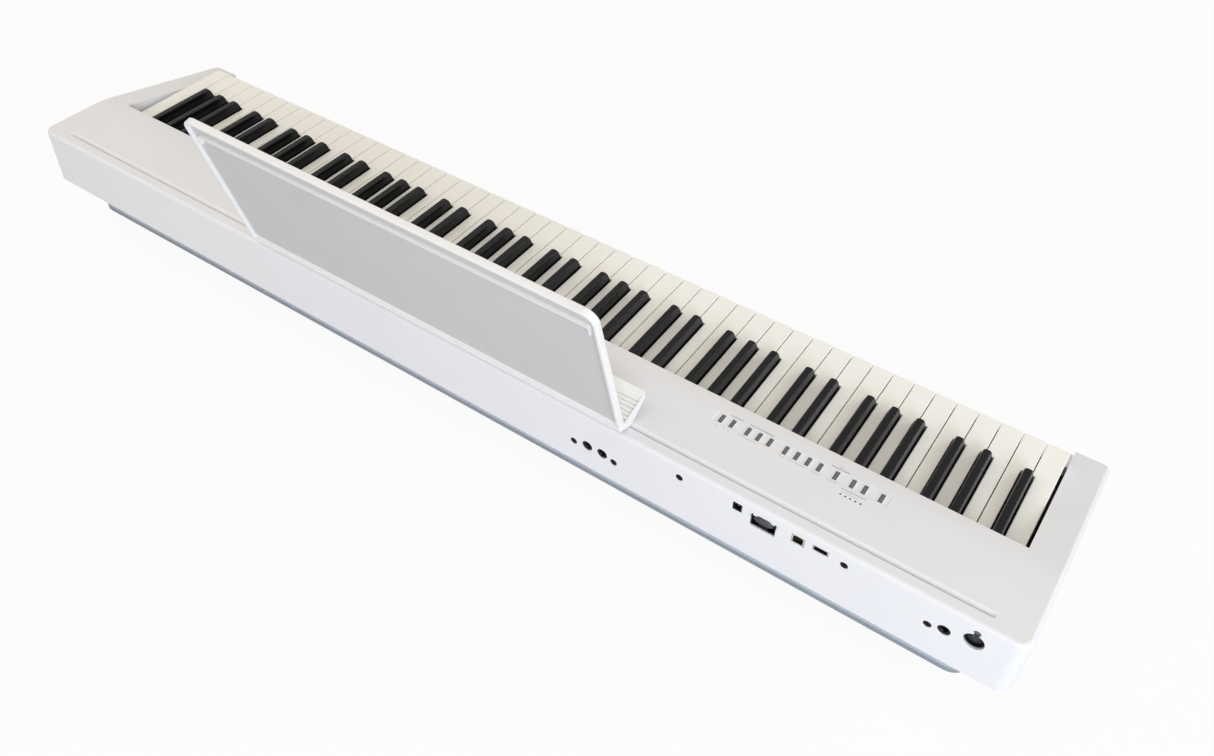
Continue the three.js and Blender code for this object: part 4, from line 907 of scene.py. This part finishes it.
def contact(x, z):
    """The sprung tip contact: a short curved strip on the wall of a jack's bore."""
    arc = [math.radians(-150 + 55 * k / 8) for k in range(9)]
    ring = [(x - r * math.cos(a), z + r * math.sin(a))
            for r, turns in ((JACK_BORE - 0.04, arc), (JACK_BORE - 0.6, arc[::-1])) for a in turns]
    return prism(ring, "Y", REAR - 4.4, REAR - 1.7)


class PIANO_OT_connections(bpy.types.Operator):
    """Jacks, sockets, inlet, circuit boards, case screws and cord hook"""
    bl_idname = "piano.connections"
    bl_label = "Connections"

    def execute(self, context):
        nylon, nickel = "black moulded nylon", "nickel plate"

        def circuit(name, board, node):
            piece(name, board, "green solder mask", replaces=[node])
        plate, front = WALL_INSIDE - BOARD_GAP, BOARD_GAP - WALL_INSIDE
        circuit("output_jack_circuit", block(-233, -195, plate - 1.6, plate + 0.1, 97, 121), "output_jack_board")
        jack = (7.5, JACK_NOSE, JACK_BORE, 1)
        piece("output_jacks", merged(*[jack_body(*place, *jack) for place in OUTPUT_JACKS]), nylon)
        # pedal jack, pedal unit socket with its contacts, and the latch above it
        circuit("pedal_circuit", block(-620, -572, plate - 1.6, plate + 0.1, 106, 140), "pedal_jack_board")
        piece("pedal_jack", jack_body(*PEDAL_JACK, *jack), nylon)
        x, z = PEDAL_SOCKET
        cup = turned([(9.2, 0), (9.2, 18.6), (8.8, 19), (7.9, 19.1), (7.5, 18.7), (7.5, 10)], "Y", (x, plate, z), 48)
        key = block(x - 1.2, x + 1.2, plate + 10, plate + 18.2, z - 7.8, z - 6.4)
        piece("pedal_unit_socket", join(cup, key), nylon)
        insert = turned([(7.3, 0), (7.3, 6.4), (6.9, 6.8), (POINT, 6.9)], "Y", (x, plate + 9.8, z), 40)
        holes = [turned([(0.75, 0), (0.75, 5)], "Y", (x + 4.4 * math.cos(a), plate + 14, z + 4.4 * math.sin(a)), 16)
                 for a in map(math.radians, (0, 51, 129, 180, 231, 309))]
        piece("pedal_unit_contacts", cut(insert, *holes), "blue-black moulded nylon")
        latch_x, latch_z = PEDAL_LATCH
        latch = turned([(3.3, 0), (3.3, 19.0), (2.9, 19.5), (1.8, 19.8)], "Y", (latch_x, plate, latch_z), 28)
        piece("pedal_unit_latch", latch, "grey acetal")
        # headphone jacks at the front
        circuit("phones_circuit", block(-645.4, -618.2, front - 0.1, front + 1.6, 84.5, 101.5), "phones_jack_board")
        piece("phones_jacks", merged(jack_body(*PHONES_JACK, 6.9, 5.4, JACK_BORE, -1),
                                     jack_body(*MINI_PHONES_JACK, 4.2, 3.3, 1.8, -1)), nylon)
        strips = [contact(*place) for place in (*OUTPUT_JACKS, PEDAL_JACK)]
        piece("jack_contacts", merged(*strips), nickel)
        # power inlet and the two serial sockets on the main board
        x, z = CORD_HOOK
        sheet = block(-520, -330, REAR - 28, WALL_INSIDE - 1, BOARD_LOW, BOARD_TOP)
        clear = block(x - 15, x + 15, REAR - 16, REAR, BOARD_LOW - 1, BOARD_TOP + 1)
        circuit("main_circuit", cut(sheet, clear), "main_board")
        chips = [soften(block(a - r, a + r, REAR - 27, REAR - 13, BOARD_TOP - 0.3, BOARD_TOP + 2), 0.3, 2)
                 for a, r in ((-500, 8), (-350, 12))]
        piece("main_chips", merged(*chips), nylon)
        in_x, in_z = POWER_INLET
        inlet = cut(socket_shell(POWER_INLET, (11, 11.2), (9.6, 10.6), (0.5, 0.5), 14),
                    turned([(3.5, 0), (3.5, 13.2), (3.9, 13.7), (3.9, 16)], "Y", (in_x, REAR - 14, in_z), 36))
        piece("power_inlet", inlet, nylon)
        pin = turned([(1.05, 0), (1.05, 10.8), (0.6, 11.3)], "Y", (in_x, REAR - 14.2, in_z), 20)
        piece("power_inlet_pin", pin, nickel)
        shells = [socket_shell(USB_COMPUTER, (13.4, 12), (13.3, 11.9), (10.0, 9.0), 16, 0.5, 1.6),
                  socket_shell(USB_MEMORY, (15.8, 7.5), (15.7, 7.3), (13.2, 5.4), 15, 0.5)]
        piece("serial_socket_shells", merged(*shells), nickel)
        (cx, cz), (mx, mz), step = USB_COMPUTER, USB_MEMORY, WALL_INSIDE - 9
        cores = [block(cx - 4.7, cx + 4.7, WALL_INSIDE - 13.9, step, cz - 4.2, cz + 2.4),
                 bar(cx, cz, 2.9, 1.6, step - 0.1, REAR - 1.6),
                 bar(mx, mz, 6.2, 2.5, WALL_INSIDE - 12.9, step),
                 block(mx - 5.6, mx + 5.6, step - 0.1, REAR - 1.4, mz + 0.3, mz + 2.2)]
        piece("serial_socket_cores", merged(*cores), nylon)
        # cord hook: a pocket with a round domed tongue that stands in front of the wall; the tongue's dark grey is
        # painted reflection on black nylon
        half, tall, skin = 12.7, 6.2, 1.2
        shell = bar(x, z, half, tall, REAR - 15, REAR - 1.8)
        pocket = bar(x, z, half - skin, tall - skin, REAR - 13.5, REAR)
        stem = block(x - 5, x + 5, REAR - 4, REAR - 1.9, z - tall, z + 5.6)
        ears = [block(*sorted((x + s * 11.4, x + s * half)), REAR - 3, REAR - 0.7, z + 4, z + 8.4) for s in (-1, 1)]
        piece("cord_hook_moulding", join(cut(shell, pocket), stem, *ears), nylon,
              replaces=["cord_hook"])
        tongue = turned([(11, 0), (11, 0.5), (10.2, 1.3), (8.2, 2.7), (6.5, 3.0), (POINT, 3.05)], "Y",
                        (x, REAR - 2.0, z - 0.5), 64)
        below = block(x - 13, x + 13, REAR - 4, REAR + 4, z - 16, z + 3.4)
        piece("cord_hook_tongue", cut(tongue, below), "dark grey moulded nylon")
        # case screws with a cross recess
        screws = []
        for x, z in REAR_SCREWS:
            head = turned([(POINT, -4.2), (3.8, -4.2), (3.8, -1.0), (3.5, -0.5), (1.8, -0.3), (POINT, -0.25)], "Y",
                          (x, REAR, z), 32)
            screws.append(cut(head, bar(x, z, 1.7, 0.35, REAR - 1.8, REAR), bar(x, z, 0.35, 1.7, REAR - 1.81, REAR)))
        piece("case_screws", merged(*screws), "black oxide steel")
        return {"FINISHED"}


# --- stage
# the camera's rotation vector, place in mm from the case's middle, focal length and shift in sensor widths
CAMERA_TURN = Vector((0.81126, -2.5654, 1.14309))
CAMERA_PLACE = (-615.8, 769.4, 978.4)
CAMERA_FOCAL = 1130.2 / 1214
CAMERA_SHIFT = (0.01266, -0.05576)
SENSOR_WIDTH = 36
FLOOR_HALF = 9


def stage_surface(name, colour, white_share):
    """Matt pale floor that shows mostly plain white behind the piano and keeps its shadow."""
    material = new_material(name)
    tree = material.node_tree
    paint = add_node(tree, "ShaderNodeBsdfDiffuse", {"Color": colour})
    white = add_node(tree, "ShaderNodeEmission", {"Color": (1, 1, 1, 1), "Strength": 1.0})
    ray = add_node(tree, "ShaderNodeLightPath")
    share = add_node(tree, "ShaderNodeMath", {"operation": "MULTIPLY", 1: white_share},
                     {0: ray.outputs["Is Camera Ray"]})
    mixed = add_node(tree, "ShaderNodeMixShader", None,
                     {0: share.outputs[0], 1: paint.outputs[0], 2: white.outputs[0]})
    add_node(tree, "ShaderNodeOutputMaterial", None, {"Surface": mixed.outputs[0]})
    return material


def lamp(name, place, target, size, power, colour):
    """A rectangular lamp that faces its target."""
    data = bpy.data.lights.new(name, "AREA")
    data.shape = "RECTANGLE"
    data.size, data.size_y = size
    data.energy = power
    data.color = colour
    obj = bpy.data.objects.new(name, data)
    obj.location = place
    obj.rotation_euler = (Vector(target) - Vector(place)).to_track_quat("-Z", "Y").to_euler()
    bpy.context.scene.collection.objects.link(obj)


class PIANO_OT_stage(bpy.types.Operator):
    """Pale floor, soft studio lamps and the camera"""
    bl_idname = "piano.stage"
    bl_label = "Stage"

    def execute(self, context):
        scene = context.scene
        floor_mesh = bpy.data.meshes.new("studio_floor")
        corners = [(x * FLOOR_HALF, y * FLOOR_HALF, 0) for x, y in ((-1, -1), (1, -1), (1, 1), (-1, 1))]
        floor_mesh.from_pydata(corners, [], [(0, 1, 2, 3)])
        floor = bpy.data.objects.new("studio_floor", floor_mesh)
        scene.collection.objects.link(floor)
        floor.data.materials.append(stage_surface("white studio paint", linear("E2E2E4"), 0.93))

        world = bpy.data.worlds.new("studio")
        scene.world = world
        world.use_nodes = True
        tree = world.node_tree
        tree.nodes.clear()
        ray = add_node(tree, "ShaderNodeLightPath")
        fill = add_node(tree, "ShaderNodeBackground", {"Color": (1.0, 0.95, 0.87, 1), "Strength": 0.6})
        white = add_node(tree, "ShaderNodeBackground", {"Color": (1, 1, 1, 1), "Strength": 1.0})
        seen = add_node(tree, "ShaderNodeMath", {"operation": "MAXIMUM"},
                        {0: ray.outputs["Is Camera Ray"], 1: ray.outputs["Is Transmission Ray"]})
        shows = add_node(tree, "ShaderNodeMath", {"operation": "MAXIMUM"},
                         {0: seen.outputs[0], 1: ray.outputs["Is Glossy Ray"]})
        mixed = add_node(tree, "ShaderNodeMixShader", None,
                         {0: shows.outputs[0], 1: fill.outputs[0], 2: white.outputs[0]})
        add_node(tree, "ShaderNodeOutputWorld", None, {"Surface": mixed.outputs[0]})

        # a broad cool window behind the bass end, two weak warm lamps above and a neutral one in front
        lamp("window_lamp", (-2.6, 2.4, 1.2), (0, 0, 0.1), (2.4, 1.6), 85, (0.81, 0.88, 1.0))
        lamp("warm_lamp", (1.9, 0.7, 1.9), (0.45, 0, 0.1), (1.4, 1.2), 8, (1.0, 0.8, 0.56))
        lamp("overhead_lamp", (0.0, 0.5, 2.6), (0, 0, 0.1), (2.6, 1.6), 8, (1.0, 0.95, 0.87))
        lamp("side_lamp", (-2.3, -2.2, 1.1), (-0.1, 0, 0.1), (0.4, 1.0), 17, (0.95, 0.97, 1.0))

        camera_data = bpy.data.cameras.new("camera")
        camera = bpy.data.objects.new("camera", camera_data)
        scene.collection.objects.link(camera)
        camera_data.sensor_width = SENSOR_WIDTH
        camera_data.lens = CAMERA_FOCAL * SENSOR_WIDTH
        camera_data.shift_x, camera_data.shift_y = CAMERA_SHIFT
        camera_data.clip_end = 50
        to_camera = Matrix.Rotation(CAMERA_TURN.length, 4, CAMERA_TURN.normalized())
        flip = Matrix.Diagonal((1, -1, -1, 1))
        place = Matrix.Translation(Vector(CAMERA_PLACE) * MM + Vector((0, CASE_Y, 0)))
        camera.matrix_world = place @ to_camera.transposed() @ flip
        scene.camera = camera
        scene.view_settings.view_transform = "Standard"
        return {"FINISHED"}


# --- add-on
class PianoSizes(bpy.types.PropertyGroup):
    """Sizes a maker would change"""
    key_gap: bpy.props.FloatProperty(name="Key gap", description="Gap between two white keys", default=1.0 * MM,
                                     unit="LENGTH")
    rest_corner: bpy.props.FloatProperty(name="Rest corner", description="Corner radius of the music rest",
                                         default=14 * MM, unit="LENGTH")


COLOUR = {"subtype": "COLOR", "size": 4, "min": 0, "max": 1}


class PianoColours(bpy.types.PropertyGroup):
    """Colours a maker would change"""
    case: bpy.props.FloatVectorProperty(name="Case", description="Colour of the upper case",
                                        default=linear("E6E7EA"), **COLOUR)
    tray: bpy.props.FloatVectorProperty(name="Base", description="Colour of the base pan",
                                        default=linear("D2D8DE"), **COLOUR)
    white_keys: bpy.props.FloatVectorProperty(name="White keys", description="Colour of the white keys",
                                              default=linear("F7F7F4"), **COLOUR)
    black_keys: bpy.props.FloatVectorProperty(name="Black keys", description="Colour of the black keys",
                                              default=linear("08080A"), **COLOUR)


PIECES = (PIANO_OT_case, PIANO_OT_base, PIANO_OT_front_rail, PIANO_OT_white_keys, PIANO_OT_black_keys, PIANO_OT_action,
          PIANO_OT_music_rest, PIANO_OT_panel, PIANO_OT_connections, PIANO_OT_stage)


class PIANO_PT_panel(bpy.types.Panel):
    """Lists the sizes, colours and pieces of the piano"""
    bl_idname = "PIANO_PT_panel"
    bl_label = "Slab digital piano"
    bl_space_type = "VIEW_3D"
    bl_region_type = "UI"
    bl_category = "Piano"

    def draw(self, context):
        for group in (context.scene.piano_sizes, context.scene.piano_colours):
            for name in group.bl_rna.properties.keys():
                if name not in ("rna_type", "name"):
                    self.layout.prop(group, name)
        for operator in PIECES:
            self.layout.operator(operator.bl_idname)


CLASSES = (PianoSizes, PianoColours, *PIECES, PIANO_PT_panel)


def register():
    for cls in CLASSES:
        bpy.utils.register_class(cls)
    bpy.types.Scene.piano_sizes = bpy.props.PointerProperty(type=PianoSizes)
    bpy.types.Scene.piano_colours = bpy.props.PointerProperty(type=PianoColours)


def unregister():
    del bpy.types.Scene.piano_colours
    del bpy.types.Scene.piano_sizes
    for cls in reversed(CLASSES):
        bpy.utils.unregister_class(cls)


def main():
    register()
    for operator in PIECES:
        group, name = operator.bl_idname.split(".")
        getattr(getattr(bpy.ops, group), name)()


if __name__ == "__main__":
    main()
